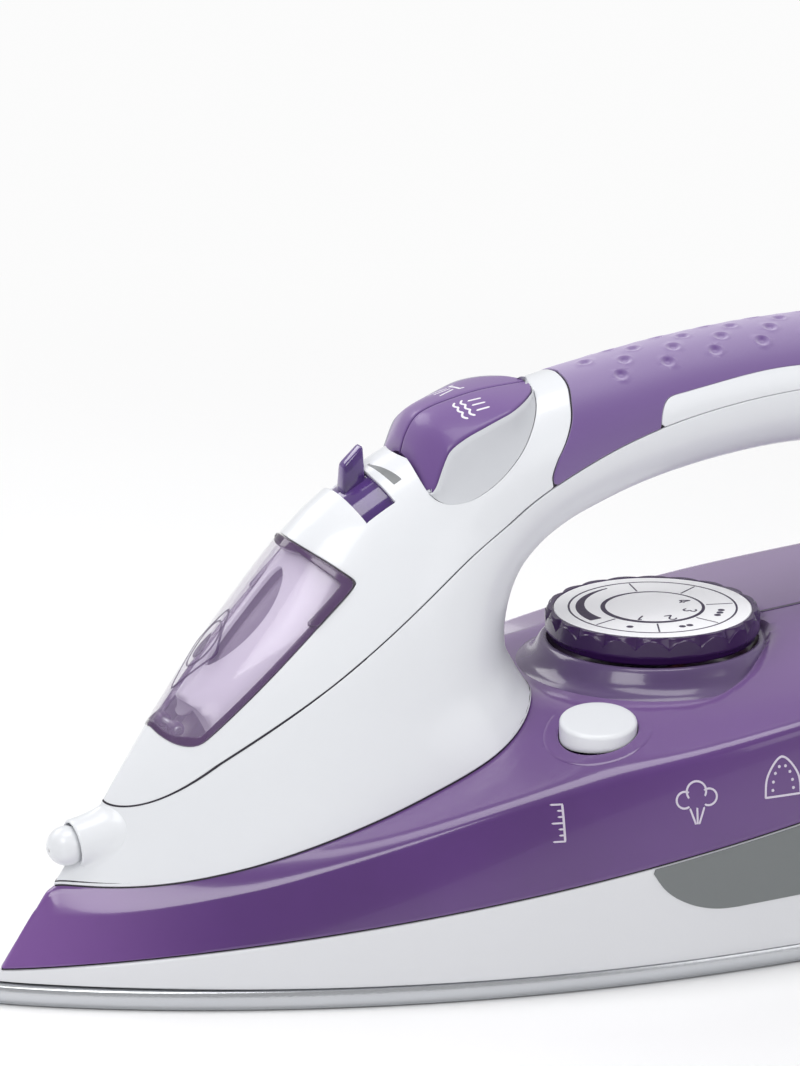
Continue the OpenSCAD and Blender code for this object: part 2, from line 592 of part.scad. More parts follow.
// ---- buttons and pumps; s is 1 for the spray, -1 for the steam burst ----
// [station, height] of the buttons' centre line and of their outer edge
BUTTON_CENTRE = [
  [108.4, 121.4], [109.5, 125.2], [111.9, 129.3], [115.5, 131.4], [122.6, 133.2],
  [129.5, 134.3], [141, 134.9]];
BUTTON_EDGE = [
  [108.4, 114.6], [110, 115.4], [111, 117.4], [112.7, 121.9], [114.2, 124.8], [118, 127.4],
  [122.6, 129.4], [129.6, 132.1], [134.8, 133.6], [141, 134.8]];
// [station, share of the half width]
BUTTON_WIDTH = [
  [108.4, 0.62], [109.2, 0.9], [110.4, 0.99], [111.6, 1], [129, 1], [132, 0.93],
  [134.8, 0.8], [137, 0.66], [139.4, 0.46], [141, 0.2]];
BUTTON_STATIONS = [108.4, 109.2, 110.2, 111.3, 112.7, 114.4, 117, 120.5, 125, 129, 132,
  134.8, 137, 139.2, 140.8];
// [station, height] of the bezel's underside
BEZEL_LOW = [
  [113, 112.2], [119, 112.6], [124, 114.9], [128.8, 118.1], [133.6, 122.7],
  [136.9, 126.6], [138, 128.2]];
BEZEL_STATIONS = [114.4, 115.4, 117, 119, 122, 125, 128, 130.5, 132.6, 134.4, 136];
function button_w(t) = button_half_w * curve(BUTTON_WIDTH, t);
function z_edge(t) = curve(BUTTON_EDGE, t);
function z_button(t, y) =
  let(k = min(1, abs(y) / button_w(t)))
  z_edge(t) + (curve(BUTTON_CENTRE, t) - z_edge(t)) * (1 - pow(k, 2.2));
module button(s) {
  inner_y = 0.2;
  thick = 2;
  loft([for (t = BUTTON_STATIONS)
    let(top = [for (j = [0:7])
      let(y = inner_y + (button_w(t) - inner_y) * sin(90 * j / 7)) [t, s * y, z_button(t, y)]])
    concat(top, [for (j = [7:-1:0]) top[j] - [0, 0, thick]])]);
}
module plunger(s) color(white) place(pump_at, s * pump_y) {
  rod([0, 0, 104], [0, 0, z_button(pump_at, pump_y) - 3.2], 2);
  up(104) cylinder(r = 4.5, h = 5);
  up(101) cylinder(r = 1.6, h = 4);
}
module barrel(s) color(pale_grey) place(pump_at, s * pump_y) difference() {
  union() {
    up(84) cylinder(r = 6, h = 27);
    up(84) cylinder(r = 7, h = 2);
    rod([0, 0, 88], [-7, 0, 88], 2.6);
  }
  up(86) cylinder(r = 4.6, h = 30);
  rod([-5, 0, 88], [-8, 0, 88], 1.2);
}
module spring(s) color(metal) place(pump_at, s * pump_y) {
  steps = 60;
  size = 6; // points around the wire
  low = 86.8;
  high = 103.2;
  coil_r = 3.3;
  wire_r = 0.45;
  solid(
    [for (i = [0:steps]) for (j = [0:size - 1])
      let(a = i * 36, b = 360 * j / size, r = coil_r + wire_r * cos(b))
      [r * cos(a), r * sin(a), low + (high - low) * i / steps + wire_r * sin(b)]],
    concat(sides(steps + 1, size),
      [for (j = [1:size - 2]) [0, j + 1, j]],
      [for (j = [1:size - 2]) [0, j, j + 1] + steps * size * [1, 1, 1]]));
}
module spray_button() color(button_purple) place() button(1);
module steam_burst_button() color(button_purple) place() button(-1);
module spray_plunger() plunger(1);
module burst_plunger() plunger(-1);
module spray_pump_barrel() barrel(1);
module burst_pump_barrel() barrel(-1);
module spray_spring() spring(1);
module burst_spring() spring(-1);
module pump_intake_tubes() color(tubing) for (s = [-1, 1])
  place(pump_at, s * pump_y) tube(32, h = 51.8, outer = 2.1, inner = 1.2);
// section of the bezel at station t: outer and inner outlines [y, z] of the -y half
function bezel_ring(t) =
  let(w = 16.4 - 1.6 * smooth(128, 138, t), wi = w - 1.05,
    low = curve(BEZEL_LOW, t) + 0.3, edge = max(low + 0.6, z_edge(t) - 0.5),
    web = function (y) max(low + 1.5, min(z_button(t, y), z_edge(t) + 4) - 5.4),
    under = web(wi) - 1.5,
    outer = [[-w + 0.3, low], [-w, low + 0.5], [-w + 0.1, edge], [-wi, edge],
      [-wi + 0.2, min(edge - 0.1, web(wi))], [-wi * 0.6, web(wi * 0.6)], [-1, web(0)]],
    inner = [[-wi + 0.6, low], [-wi + 0.7, low + 0.1], [-wi + 0.8, max(low + 0.12, under)],
      [-wi + 0.9, max(low + 0.14, under)], [-wi + 1.4, max(low + 0.16, under)],
      [-wi * 0.6, max(low + 0.18, web(wi * 0.6) - 1.6)], [-1, max(low + 0.2, web(0) - 1.6)]])
  concat([for (p = outer) [t, p[0], p[1]]],
    [for (i = [6:-1:0]) [t, -outer[i][0], outer[i][1]]],
    [for (p = inner) [t, -p[0], p[1]]],
    [for (i = [6:-1:0]) [t, inner[i][0], inner[i][1]]]);
module pump_bezel() color(seat_grey) place() difference() {
  loft([for (t = BEZEL_STATIONS) bezel_ring(t)]);
  for (s = [-1, 1]) translate([pump_at, s * pump_y, 100]) cylinder(r = 2.3, h = 40);
}

// ---- steam lever and valve ----
// z runs back and up along the handle, -x points out through its crest
module lever_frame()
  translate([103.1, 0, 101.7]) rotate([0, 90 - atan2(0.489, 0.872), 0]) children();
module steam_lever() color(deep_purple) place() lever_frame() difference() {
  union() {
    intersection() {
      up(-5.5) difference() {
        cylinder(r = lever_r, h = 11);
        up(-1) cylinder(r = lever_r - 1.6, h = 13);
      }
      up(-7) linear_extrude(14) polygon([[0, 0], [-30, -46], [-30, 46]]);
    }
    translate([-lever_r - 11, -1.9, -3.4]) cube([11.5, 3.8, 6.8]);
    translate([-lever_r + 0.6, -2, -1.2]) cube([lever_r - 3.2, 4, 2.4]);
    up(-5.5) cylinder(r = 3.6, h = 11);
    up(-8.5) cylinder(r = 1.8, h = 17);
  }
  translate([-lever_r - 14, -3, 0.6]) rotate([0, 24, 0]) cube([4, 6, 9]);
}
module lever_guide() color([0.7, 0.7, 0.74]) place() lever_frame()
  for (s = [-1, 1]) up(s * 7.3) difference() {
    union() {
      translate([-4, -13, -1]) cube([8, 26, 2]);
      translate([-6, -13.2, -1]) cube([10, 2, 2]);
    }
    up(-2) cylinder(r = 1.86, h = 4);
  }
module valve_rod() color(metal) place(valve_at) {
  up(17.6) cylinder(r1 = 0.8, r2 = 1.8, h = 3);
  up(20.59) cylinder(r = 1.8, h = 69);
  up(89) cylinder(r = 2.8, h = 1.6);
}
module valve_seat() color([0.8, 0.55, 0.4]) place(valve_at) difference() {
  top = z_floor(valve_at) + 5;
  union() {
    up(14.2) cylinder(r = 3.5, h = top - 14.2);
    up(top - 1.8) cylinder(r = 6, h = 1.8);
  }
  up(13) cylinder(r = 0.9, h = 4);
  up(14.65) cylinder(r = 1.9, h = 30);
}

// ---- self-clean control ----
module clean_oval(r, z, h) up(z) linear_extrude(h) hull()
  for (dx = [0, 5]) translate(clean_at + [dx, 0]) circle(r, $fn = 32);
module self_clean_button() color(white) place() {
  clean_oval(7.3, z = 56, h = 5.2);
  clean_oval(6.4, z = 61.1, h = 0.9);
}
module self_clean_rod() color(metal) place() translate(clean_at) {
  up(30) cylinder(r = 2, h = 25.9);
  up(27.2) cylinder(r1 = 0.8, r2 = 2, h = 2.9);
}
module self_clean_seat() color(seat_grey) place() {
  difference() {
    clean_oval(9.2, z = 49.6, h = 6.9);
    clean_oval(7.6, z = 51.2, h = 10);
    translate(clean_at) up(40) cylinder(r = 2.1, h = 20);
  }
  translate(clean_at) tube(16.3, h = 19.3, outer = 4, inner = 2.2);
}

// ---- heel ----
HEEL_RIBS = [13.25, 13.6, 14, 14.5, 15, 15.5, 16, 16.5, 17, 18, 19, 20, 21, 22, 23, 24];
FEET = [[-36, 26], [36, 26], [-26, 74], [26, 74]]; // [y, z]
heel_screw_at = 264;
heel_screw_y = 38;
// on the sloping rear face, z pointing out of it
module foot_frame(foot)
  translate([285 - 0.16 * (foot[1] - 16), foot[0], foot[1]]) rotate([0, 90 - 9.09, 0])
    children();
module heel_housing() color(pale_grey) place() difference() {
  body_wall(HEEL_RIBS, 26, function (s) 0, function (s) 360, -2.6, 0.1,
    closed = len(HEEL_RIBS) - 1);
  swivel_frame() up(-14) cylinder(r = 12.4, h = 40);
  translate([240, -13, 15]) cube([12, 26, 16]);
  for (foot = FEET) foot_frame(foot) up(-8) cylinder(r = 2.1, h = 12);
}
module heel_feet() color([0.15, 0.15, 0.16]) place()
  for (foot = FEET) foot_frame(foot) difference() {
    union() {
      up(0.35) cylinder(r = 5, h = 2.2);
      up(-4) cylinder(r = 2, h = 4.4);
    }
    up(1.6) cylinder(r = 2, h = 2);
  }
module heel_cover() color(base_grey) place() difference() {
  loft([for (t = [251.6, 253, 257, 262, 268, 274, 278, 280.2])
    let(w = 46.4 * pow(1 - pow(abs((t - 265.9) / 17.5), 6), 0.25))
    [[t, -w, 9.2], [t, w, 9.2], [t, w, 12], [t, -w, 12]]]);
  for (s = [-1, 1])
    translate([heel_screw_at, s * heel_screw_y, 8]) cylinder(r = 1.7, h = 6);
}
module heel_screws() color(screw_metal)
  for (s = [-1, 1]) place(heel_screw_at, s * heel_screw_y) difference() {
    union() {
      up(7.2) cylinder(r = 3, h = 1.9);
      up(8) cylinder(r = 1.6, h = 14);
    }
    translate([-2.5, -0.4, 6.4]) cube([5, 0.8, 1.8]);
    translate([-0.4, -2.5, 6.4]) cube([0.8, 5, 1.8]);
  }

// ---- cord ----
// origin at the centre of the swivel, z pointing out along the cord
module swivel_frame() translate([253.5, 0, 131]) rotate([0, 90 - cord_rise, 0]) children();
module swivel_collar() color([0.85, 0.85, 0.88]) place() swivel_frame() difference() {
  union() {
    up(-5.5) cylinder(r = 12.2, h = 9);
    up(3.49) cylinder(r1 = 12.2, r2 = 10.4, h = 2.6);
  }
  sphere(r = 8.1);
  cylinder(r1 = 4, r2 = 11, h = 8);
  up(-7) cylinder(r = 6, h = 7);
  rod([0, -13, 0], [0, 13, 0], 1.3);
}
module cord_guard() color([0.3, 0.3, 0.32]) place() swivel_frame() difference() {
  union() {
    sphere(r = 8);
    up(6.8) cylinder(r1 = 4.2, r2 = 5.9, h = 1.8);
    up(8.5) cylinder(r1 = 5.9, r2 = 4.7, h = guard_len - 8.4);
  }
  up(-9) cylinder(r = cord_r + 0.05, h = guard_len + 20);
  rod([0, -9, 0], [0, -3, 0], 1.25);
  rod([0, 3, 0], [0, 9, 0], 1.25);
  for (i = [0:5]) up(14 + i * 5) difference() {
    cylinder(r = 8, h = 1.6);
    up(-1) cylinder(r = 4.3, h = 4);
  }
}
module guard_pin() color(metal) place() swivel_frame()
  for (s = [-1, 1]) rod([0, s * 3.6, 0], [0, s * 11.4, 0], 1.2);
module power_cord() color([0.25, 0.25, 0.27]) place() swivel_frame() {
  bend = 40;
  bend_z = guard_len + 11.9;
  up(-6) cylinder(r = cord_r, h = guard_len + 18);
  translate([bend, 0, bend_z]) rotate([90, 0, 0]) rotate([0, 0, 90])
    rotate_extrude(angle = 90) translate([bend, 0]) circle(cord_r);
  rod([bend - 0.1, 0, bend_z + bend], [70, 0, bend_z + bend], cord_r);
}

// ---- wiring ----
terminal_at = 261;
terminal_pitch = 8;
module terminal_block() color([0.9, 0.9, 0.86]) place(terminal_at) difference() {
  translate([-5, -12, 34]) cube([10, 24, 12]);
  for (i = [-1:1]) translate([0, i * terminal_pitch, 0]) {
    up(40) cylinder(r = 2, h = 8);
    up(30) cylinder(r = 1.4, h = 8);
  }
}
module lead_wires() color([0.6, 0.3, 0.2]) place() {
  wire_r = 1.1;
  for (s = [-1, 1]) {
    y = s * terminal_pitch;
    bent_rod([[terminal_at, y, 35.9], [terminal_at, y, 21], [236, y, 21],
      [222, s * 27, 27.6], [216.6, s * 27.9, 28]], wire_r);
  }
  bent_rod([[terminal_at, 0, 35.9], [terminal_at, 0, 21], [215, 0, 21], [199.5, 6, 15.6]],
    wire_r);
}

soleplate();
heating_element();
steam_chamber_cover();
chamber_seal();
thermostat_body();
thermostat_spindle();
thermal_fuse();
heat_skirt();
accent_panels();
tank_shell();
tank_base();
spindle_tube();
lower_shell();
upper_shell();
handle_grip();
filler_door();
door_pin();
filler_funnel();
spray_nozzle();
nozzle_insert();
spray_tube();
spray_button();
steam_burst_button();
pump_bezel();
spray_plunger();
burst_plunger();
spray_pump_barrel();
burst_pump_barrel();
spray_spring();
burst_spring();
burst_tube();
pump_intake_tubes();
steam_lever();
lever_guide();
valve_rod();
valve_seat();
temperature_dial();
dial_disc();
dial_collar();
pilot_lamp();
self_clean_button();
self_clean_rod();
self_clean_seat();
heel_housing();
heel_cover();
heel_feet();
heel_screws();
sole_screws();
swivel_collar();
cord_guard();
guard_pin();
power_cord();
terminal_block();
lead_wires();
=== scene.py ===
# A steam iron: soleplate, heat skirt, purple tank, and a looped handle with lid, keys and lever.
#
# Shapes are drawn in millimetres as (t, y, z): t runs from the nose tip back to the heel, y
# across, z up from the sole. In the scene the nose points to -X and the sole lies on z = 0.
# The "near" side is -y, the "far" side +y.
#
# The handle and heel form one tube with coordinates (s, a). s follows the ribs, from the foot
# on the tank (0) up, back and down the heel (24). a is degrees round a rib: 0 on the crest,
# 180 on the underside, negative on the near side. Panels on it are outlined in (u, v), which
# is (s, a) stretched to about millimetres.

import json
import math
import bpy
import bmesh
import numpy as np
from mathutils import Vector, Matrix
from mathutils.bvhtree import BVHTree
from mathutils.geometry import delaunay_2d_cdt


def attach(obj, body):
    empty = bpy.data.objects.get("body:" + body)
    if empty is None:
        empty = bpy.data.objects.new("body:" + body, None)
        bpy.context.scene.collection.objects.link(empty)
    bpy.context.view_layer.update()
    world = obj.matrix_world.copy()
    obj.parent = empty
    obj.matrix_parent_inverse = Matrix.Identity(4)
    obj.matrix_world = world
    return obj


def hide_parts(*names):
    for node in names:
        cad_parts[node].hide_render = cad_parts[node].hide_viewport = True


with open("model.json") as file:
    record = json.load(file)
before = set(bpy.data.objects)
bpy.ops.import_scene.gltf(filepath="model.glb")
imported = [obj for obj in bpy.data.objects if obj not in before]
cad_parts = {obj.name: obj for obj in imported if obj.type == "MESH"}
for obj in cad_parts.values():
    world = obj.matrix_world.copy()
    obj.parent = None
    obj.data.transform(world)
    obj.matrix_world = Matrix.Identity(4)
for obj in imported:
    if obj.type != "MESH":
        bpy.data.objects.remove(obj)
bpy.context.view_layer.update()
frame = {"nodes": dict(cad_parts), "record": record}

# ---------------------------------------------------------------- driving dimensions
ORIGIN_T = 140.0        # t of the scene origin
SOLE_W = 57.0           # half widths: sole, foot of the body, crease round the deck
BODY_W = 59.3
CREASE_W = 57.0
WIDE_T = 185.0          # t where the plan is widest
END_T = 246.0           # t of the back of the tank
SKIRT_Z = 5.3           # lower edge of the heat skirt
DIAL_T = 175.7          # dial axis, and the height its profiles are measured from
DIAL_Z = 67.2
SHELF_Z = 60.9          # level shelf cut in the deck round the dial
CLEAN_T, CLEAN_Y = 143.0, -36.5     # self-clean button: centre and half axes
CLEAN_A, CLEAN_B = 9.4, 8.5
SEAM_START = 1.45       # s where the seam between the handle shells begins
HANDLE_END = 13.08      # s where grip and lower shell end
HEEL_START, HEEL_END = 13.3, 24.0
SEAM_GAP = 1.25         # half the seam, degrees
V_SCALE = 0.36          # mm of v per degree of a
HINGE = np.array([48.6, 0, 62.4])   # lid hinge pin

XDIR, YDIR, ZDIR = np.array([1.0, 0, 0]), np.array([0, 1.0, 0]), np.array([0, 0, 1.0])
UPRIGHT = (XDIR, YDIR, ZDIR)
MIRROR = np.array([1, -1, 1])
SIDES = ((-1, "near"), (1, "far"))

# heights along the body: t, z
CREASE = [[14, 21.2], [30, 22.6], [58, 28.9], [75, 34], [91, 39], [111, 45.3], [126, 49.3],
          [144, 53.2], [163, 56.4], [186, 60], [213, 63.6], [246, 67]]
CENTRE = [[14, 24], [30, 31], [46, 36.5], [60, 40.5], [74, 43.6], [94, 48.5], [118, 55.5],
          [131, 60.5], [139, 63.6], [155, 65.4], [175, 66.6], [206, 69], [246, 72]]

# handle ribs: crest t, z; underside t, z; half width; saddle drop of the sides; fraction across
# where widest; exponents p, q (crest part) and n, m (under part); seam as a fraction across
RIBS = np.array([
    [19, 28, 139, 65, 31.5, 7.9, 0.68, 1.9, 1.1, 3, 2, 0],
    [27, 39, 135.5, 69.5, 30, 6.3, 0.66, 1.9, 1.25, 3, 2, 0],
    [38, 55.5, 133, 75.5, 27.5, 3.6, 0.62, 1.95, 1.45, 2.8, 2, 0.17],
    [52, 74, 134, 84, 25.3, 1.4, 0.58, 2, 1.65, 2.6, 2, 0.39],
    [66, 90, 138, 91.8, 22.8, 0.3, 0.54, 2, 1.8, 2.4, 2, 0.53],
    [78.4, 103.8, 144.4, 97.3, 20.3, 0, 0.52, 2.05, 1.9, 2.3, 2, 0.6],
    [88.5, 112.3, 152, 101.3, 18.6, 0, 0.5, 2.1, 2, 2.3, 2, 0.62],
    [104, 121, 159, 103.8, 17.6, 0, 0.5, 2.2, 2, 2.3, 2, 0.59],
    [122, 128.8, 168, 106.6, 17, 0, 0.5, 2.2, 2, 2.3, 2, 0.56],
    [141, 134.6, 178, 108.9, 16.6, 0, 0.5, 2.2, 2, 2.3, 2, 0.52],
    [160, 138, 190, 110.8, 16.5, 0, 0.5, 2.2, 2, 2.2, 2, 0.475],
    [181, 140.8, 203, 112, 16.5, 0, 0.5, 2.2, 2, 2.2, 2, 0.45],
    [205, 142.4, 214, 112, 16.7, 0, 0.5, 2.2, 2, 2.2, 2, 0.436],
    [230, 141.8, 226, 110.6, 17.2, 0, 0.5, 2.2, 2, 2.2, 2, 0.43],
    [251, 137.2, 235, 106.5, 18.5, 0, 0.5, 2.3, 2, 2.3, 2, 0.43],
    [264, 127, 240.5, 99, 21, 0, 0.5, 2.5, 2, 2.4, 2, 0.42],
    [269.3, 114, 243, 91, 25, 0, 0.5, 2.8, 2.1, 2.6, 2.1, 0.42],
    [271.5, 100.6, 244.6, 84, 30, 0, 0.5, 3.2, 2.4, 3, 2.4, 0.41],
    [273.8, 86, 246, 77.5, 37, 0, 0.5, 4, 3, 4, 3, 0.4],
    [276, 72.5, 246.8, 72.5, 45, 0, 0.5, 5, 4, 8, 5, 0.4],
    [278, 60, 246.8, 60, 51, 0, 0.5, 5, 4, 12, 7, 0.4],
    [280.4, 45, 246.8, 45, 55, 0, 0.5, 5, 4, 12, 7, 0.4],
    [283.1, 28, 246.8, 28, 56, 0, 0.5, 5, 4, 12, 7, 0.4],
    [285, 16, 246.8, 16, 55, 0, 0.5, 5, 4, 12, 7, 0.4],
    [285.2, 9, 246.8, 9, 52.5, 0, 0.5, 5, 4, 12, 7, 0.4]])


# ---------------------------------------------------------------- curves
def hermite(table, x):
    """Smooth curve through (x, value) rows."""
    table = np.array(table, float)
    xs, ys = table[:, 0], table[:, 1]
    count = len(xs)
    slope = np.empty(count)
    slope[1:-1] = (ys[2:] - ys[:-2]) / (xs[2:] - xs[:-2])
    slope[0] = (ys[1] - ys[0]) / (xs[1] - xs[0])
    slope[-1] = (ys[-1] - ys[-2]) / (xs[-1] - xs[-2])
    x = np.asarray(x, float)
    i = np.clip(np.searchsorted(xs, x, side="right") - 1, 0, count - 2)
    h = xs[i + 1] - xs[i]
    u = np.clip((x - xs[i]) / h, 0, 1)
    return ((2 * u**3 - 3 * u**2 + 1) * ys[i] + (u**3 - 2 * u**2 + u) * h * slope[i]
            + (3 * u**2 - 2 * u**3) * ys[i + 1] + (u**3 - u**2) * h * slope[i + 1])


def catmull(a, b, c, d, u):
    return 0.5 * (2 * b + (c - a) * u + (2 * a - 5 * b + 4 * c - d) * u**2
                  + (3 * b - a - 3 * c + d) * u**3)


def rib_at(s):
    last = len(RIBS) - 1
    s = np.asarray(s, float)
    i = np.clip(np.floor(s).astype(int), 0, last - 1)
    u = (s - i)[..., None]
    return catmull(RIBS[np.maximum(0, i - 1)], RIBS[i], RIBS[i + 1],
                   RIBS[np.minimum(last, i + 2)], u)


def spline(points, steps, closed=False):
    """Catmull-Rom curve with a number of steps to each span."""
    points = np.array(points, float)
    count = len(points)
    out = []
    for i in range(count if closed else count - 1):
        around = [i - 1, i, i + 1, i + 2]
        if closed:
            around = [k % count for k in around]
        else:
            around = [min(max(0, k), count - 1) for k in around]
        a, b, c, d = points[around]
        for k in range(steps):
            u = k / steps
            out.append(0.5 * (2 * b + (c - a) * u + (2 * a - 5 * b + 4 * c - d) * u * u
                              + (3 * b - a - 3 * c + d) * u**3))
    if not closed:
        out.append(points[-1])
    return np.array(out)


def smooth(low, high, x):
    u = np.clip((np.asarray(x, float) - low) / (high - low), 0, 1)
    return u * u * (3 - 2 * u)


def bezier(a, b, c, q):
    return (1 - q) ** 2 * a + 2 * q * (1 - q) * b + q * q * c


# ---------------------------------------------------------------- surfaces of the body
def nose_t(z):
    """t of the sloping nose at height z."""
    return np.maximum(0, 0.714 * np.asarray(z, float) - 1.02)


def plan(t, nose, width):
    """Half width at t of a plan that starts at nose and is widest at WIDE_T."""
    t = np.asarray(t, float)
    nose = np.asarray(nose, float)
    v = np.clip((t - nose) / (WIDE_T - nose), 0, 1)
    fore = width * (1 - (1 - v) ** 2.1) ** (1 / 1.12)
    aft = width * (1 - 0.06 * ((t - WIDE_T) / (END_T - WIDE_T)) ** 2)
    return np.where(t <= nose, 0, np.where(t < WIDE_T, fore, aft))


def z_joint(t):
    """Height of the joint between skirt and tank."""
    t = np.asarray(t, float)
    return 7.2 + 0.142 * t + 0.00008 * t * t


def z_crease(t):
    return hermite(CREASE, t)


def w_crease(t):
    return plan(t, nose_t(z_crease(t)), CREASE_W)


def z_crown(t, y):
    """The crowned deck before the dial's shelf is cut."""
    width = np.maximum(0.5, w_crease(t))
    mid, crease = hermite(CENTRE, t), z_crease(t)
    limit = (np.asarray(t, float) + 1.02) / 0.714 - 0.15
    blended = 0.5 * (mid + limit - np.sqrt((mid - limit) ** 2 + 0.25))
    mid = np.where(np.asarray(t) < 24, blended, mid)
    mid = np.maximum(mid, crease)
    power = 2 - 0.55 * smooth(138, 165, t)
    return mid - (mid - crease) * np.minimum(1, np.abs(y) / width + 1e-9) ** power


def z_deck(t, y):
    z = z_crown(t, y)
    reach = np.hypot(np.asarray(t) - DIAL_T, y)
    cosine = (np.asarray(t) - DIAL_T) / np.maximum(1e-6, reach)
    behind = smooth(-0.1, 0.75, cosine)
    outer = 36 + 13 * (1 - smooth(-0.7, 0.2, cosine)) - 7.5 * behind
    shelf = 1 - smooth(31.5 - 7 * behind, outer, reach)
    return z - shelf * np.maximum(0, z - SHELF_Z)


def rib_point(s, a, grow=0.0):
    (crest_t, crest_z, under_t, under_z, half_w, saddle,
     widest, p, q, n, m, _) = np.moveaxis(rib_at(s), -1, 0)
    a = np.asarray(a, float)
    dt, dz = under_t - crest_t, under_z - crest_z
    length = np.hypot(dt, dz)
    angle = np.radians(a)
    u = (1 - np.cos(angle)) / 2
    along = -grow + (length + 2 * grow) * u
    side = np.where(np.mod(a + 180, 360) - 180 < 0, -1.0, 1.0)
    upper = np.maximum(0, 1 - np.maximum(0, 1 - u / widest) ** p) ** (1 / q)
    lower = np.maximum(0, 1 - np.maximum(0, (u - widest) / (1 - widest)) ** n) ** (1 / m)
    y = side * (half_w + grow) * np.where(u < widest, upper, lower)
    z = crest_z + dz / length * along - np.maximum(0, saddle) * np.abs(np.sin(angle))
    return np.stack([crest_t + dt / length * along, y, z], -1)


def body(s, a, grow=0.0, lift=0.0):
    """The handle tube, its foot (s below 1.2) drawn down onto the deck."""
    s = np.asarray(s, float)
    p = rib_point(s, a, grow)
    if np.any(s < 1.2):
        foot = rib_point(np.zeros_like(s), a, grow)
        shift = z_deck(foot[..., 0], foot[..., 1]) + lift - foot[..., 2]
        p[..., 2] += np.where(s < 1.2, shift * (1 - smooth(0, 1.2, s)), 0)
    return p


def seam_a(s):
    """Angle of the seam between upper and lower shell."""
    s = np.asarray(s, float)
    start = 0.17 * np.sqrt(np.clip((s - SEAM_START) / (2 - SEAM_START), 0, 1))
    share = np.where(s <= SEAM_START, 0, np.where(s < 2, start, rib_at(s)[..., 11]))
    return np.degrees(np.arccos(1 - 2 * share))


def handle_centre(s):
    rib = rib_at(s)
    return np.stack([0.45 * rib[..., 0] + 0.55 * rib[..., 2], 0 * rib[..., 0],
                     0.45 * rib[..., 1] + 0.55 * rib[..., 3]], -1)


def normals(fn, u, v, du, dv, inner):
    """Unit normals of fn(u, v), facing away from the inner point."""
    n = np.cross(fn(u + du, v) - fn(u - du, v), fn(u, v + dv) - fn(u, v - dv))
    n /= np.maximum(1e-12, np.linalg.norm(n, axis=-1))[..., None]
    sign = np.sign(np.einsum("...i,...i", n, fn(u, v) - inner))
    return n * np.where(sign == 0, 1, sign)[..., None]


def arclen(points):
    return np.concatenate([[0], np.cumsum(np.linalg.norm(np.diff(points, axis=0), axis=1))])


METRIC_S = np.linspace(0, 24, 481)
METRIC_U = arclen(rib_point(METRIC_S, 40 + 0 * METRIC_S))


def to_sa(uv):
    return np.interp(uv[:, 0], METRIC_U, METRIC_S), uv[:, 1] / V_SCALE


def to_uv(s, a):
    return np.stack([np.interp(s, METRIC_S, METRIC_U), np.asarray(a) * V_SCALE], -1)


def on_handle(fn, step=(0.012, 0.6)):
    """Turn fn(s, a) into the map panel() takes: (u, v) to points and normals."""
    def surface(uv):
        s, a = to_sa(uv)
        return fn(s, a), normals(fn, s, a, *step, handle_centre(s))
    return surface


def shell(grow=0.0, lift=0.0):
    return on_handle(lambda s, a: body(s, a, grow, lift))


def handle_grid(s_values, a_values):
    s, a = np.meshgrid(s_values, a_values, indexing="ij")
    s, a = s.ravel(), a.ravel()
    return s, a, body(s, a)


SIDE_S, SIDE_A, SIDE_P = handle_grid(np.arange(0, 14.6, 0.04), np.arange(0, 150, 1.0))


def from_side(points):
    """Side-view points (t, z) to (s, a): the nearest grid point, then Newton steps."""
    points = np.array(points, float)
    far2 = ((SIDE_P[None, :, 0] - points[:, None, 0]) ** 2
            + (SIDE_P[None, :, 2] - points[:, None, 1]) ** 2)
    i = far2.argmin(1)
    s, a = SIDE_S[i].copy(), SIDE_A[i].copy()
    for _ in range(6):
        p = body(s, a)
        rt, rz = points[:, 0] - p[:, 0], points[:, 1] - p[:, 2]
        by_s = (body(s + 0.01, a) - body(s - 0.01, a)) / 0.02
        by_a = (body(s, a + 0.3) - body(s, a - 0.3)) / 0.6
        det = by_s[:, 0] * by_a[:, 2] - by_a[:, 0] * by_s[:, 2]
        ok = np.abs(det) > 1e-3
        det = np.where(ok, det, 1)
        ds = (by_a[:, 2] * rt - by_a[:, 0] * rz) / det
        da = (-by_s[:, 2] * rt + by_s[:, 0] * rz) / det
        s = np.clip(s + np.where(ok, np.clip(ds, -0.1, 0.1), 0), 0, 14.5)
        a = np.clip(a + np.where(ok, np.clip(da, -3, 3), 0), 0, 175)
    return s, a


def nearest_uv(points):
    """The (u, v) of the handle points nearest to 3-D points."""
    grid_s, grid_a, grid_p = handle_grid(np.arange(0, 24, 0.05), np.arange(-100, 100, 2.0))

    def at(s, a):
        return body(np.array([s]), np.array([a]))[0]

    out = []
    for point in points:
        i = ((grid_p - point) ** 2).sum(1).argmin()
        s, a = grid_s[i], grid_a[i]
        for _ in range(5):
            by_s = (at(s + 0.01, a) - at(s - 0.01, a)) / 0.02
            by_a = (at(s, a + 0.3) - at(s, a - 0.3)) / 0.6
            jacobian = np.stack([by_s, by_a], -1)
            step = np.linalg.lstsq(jacobian, point - at(s, a), rcond=None)[0]
            s += np.clip(step[0], -0.1, 0.1)
            a += np.clip(step[1], -3, 3)
        out.append((s, a))
    out = np.array(out)
    return to_uv(out[:, 0], out[:, 1])


# ---------------------------------------------------------------- outlines
def dense(points, spacing=0.8):
    """Add points along a polyline, keeping its corners."""
    points = np.array(points, float)
    out = [points[0]]
    for a, b in zip(points[:-1], points[1:]):
        n = max(1, int(math.ceil(np.linalg.norm(b - a) / spacing)))
        out += [a + (b - a) * k / n for k in range(1, n + 1)]
    return np.array(out)


def spaced(points, count):
    """Evenly spaced points along a polyline."""
    length = arclen(points)
    at = np.linspace(0, length[-1], count)
    return np.stack([np.interp(at, length, points[:, k]) for k in range(points.shape[1])], -1)


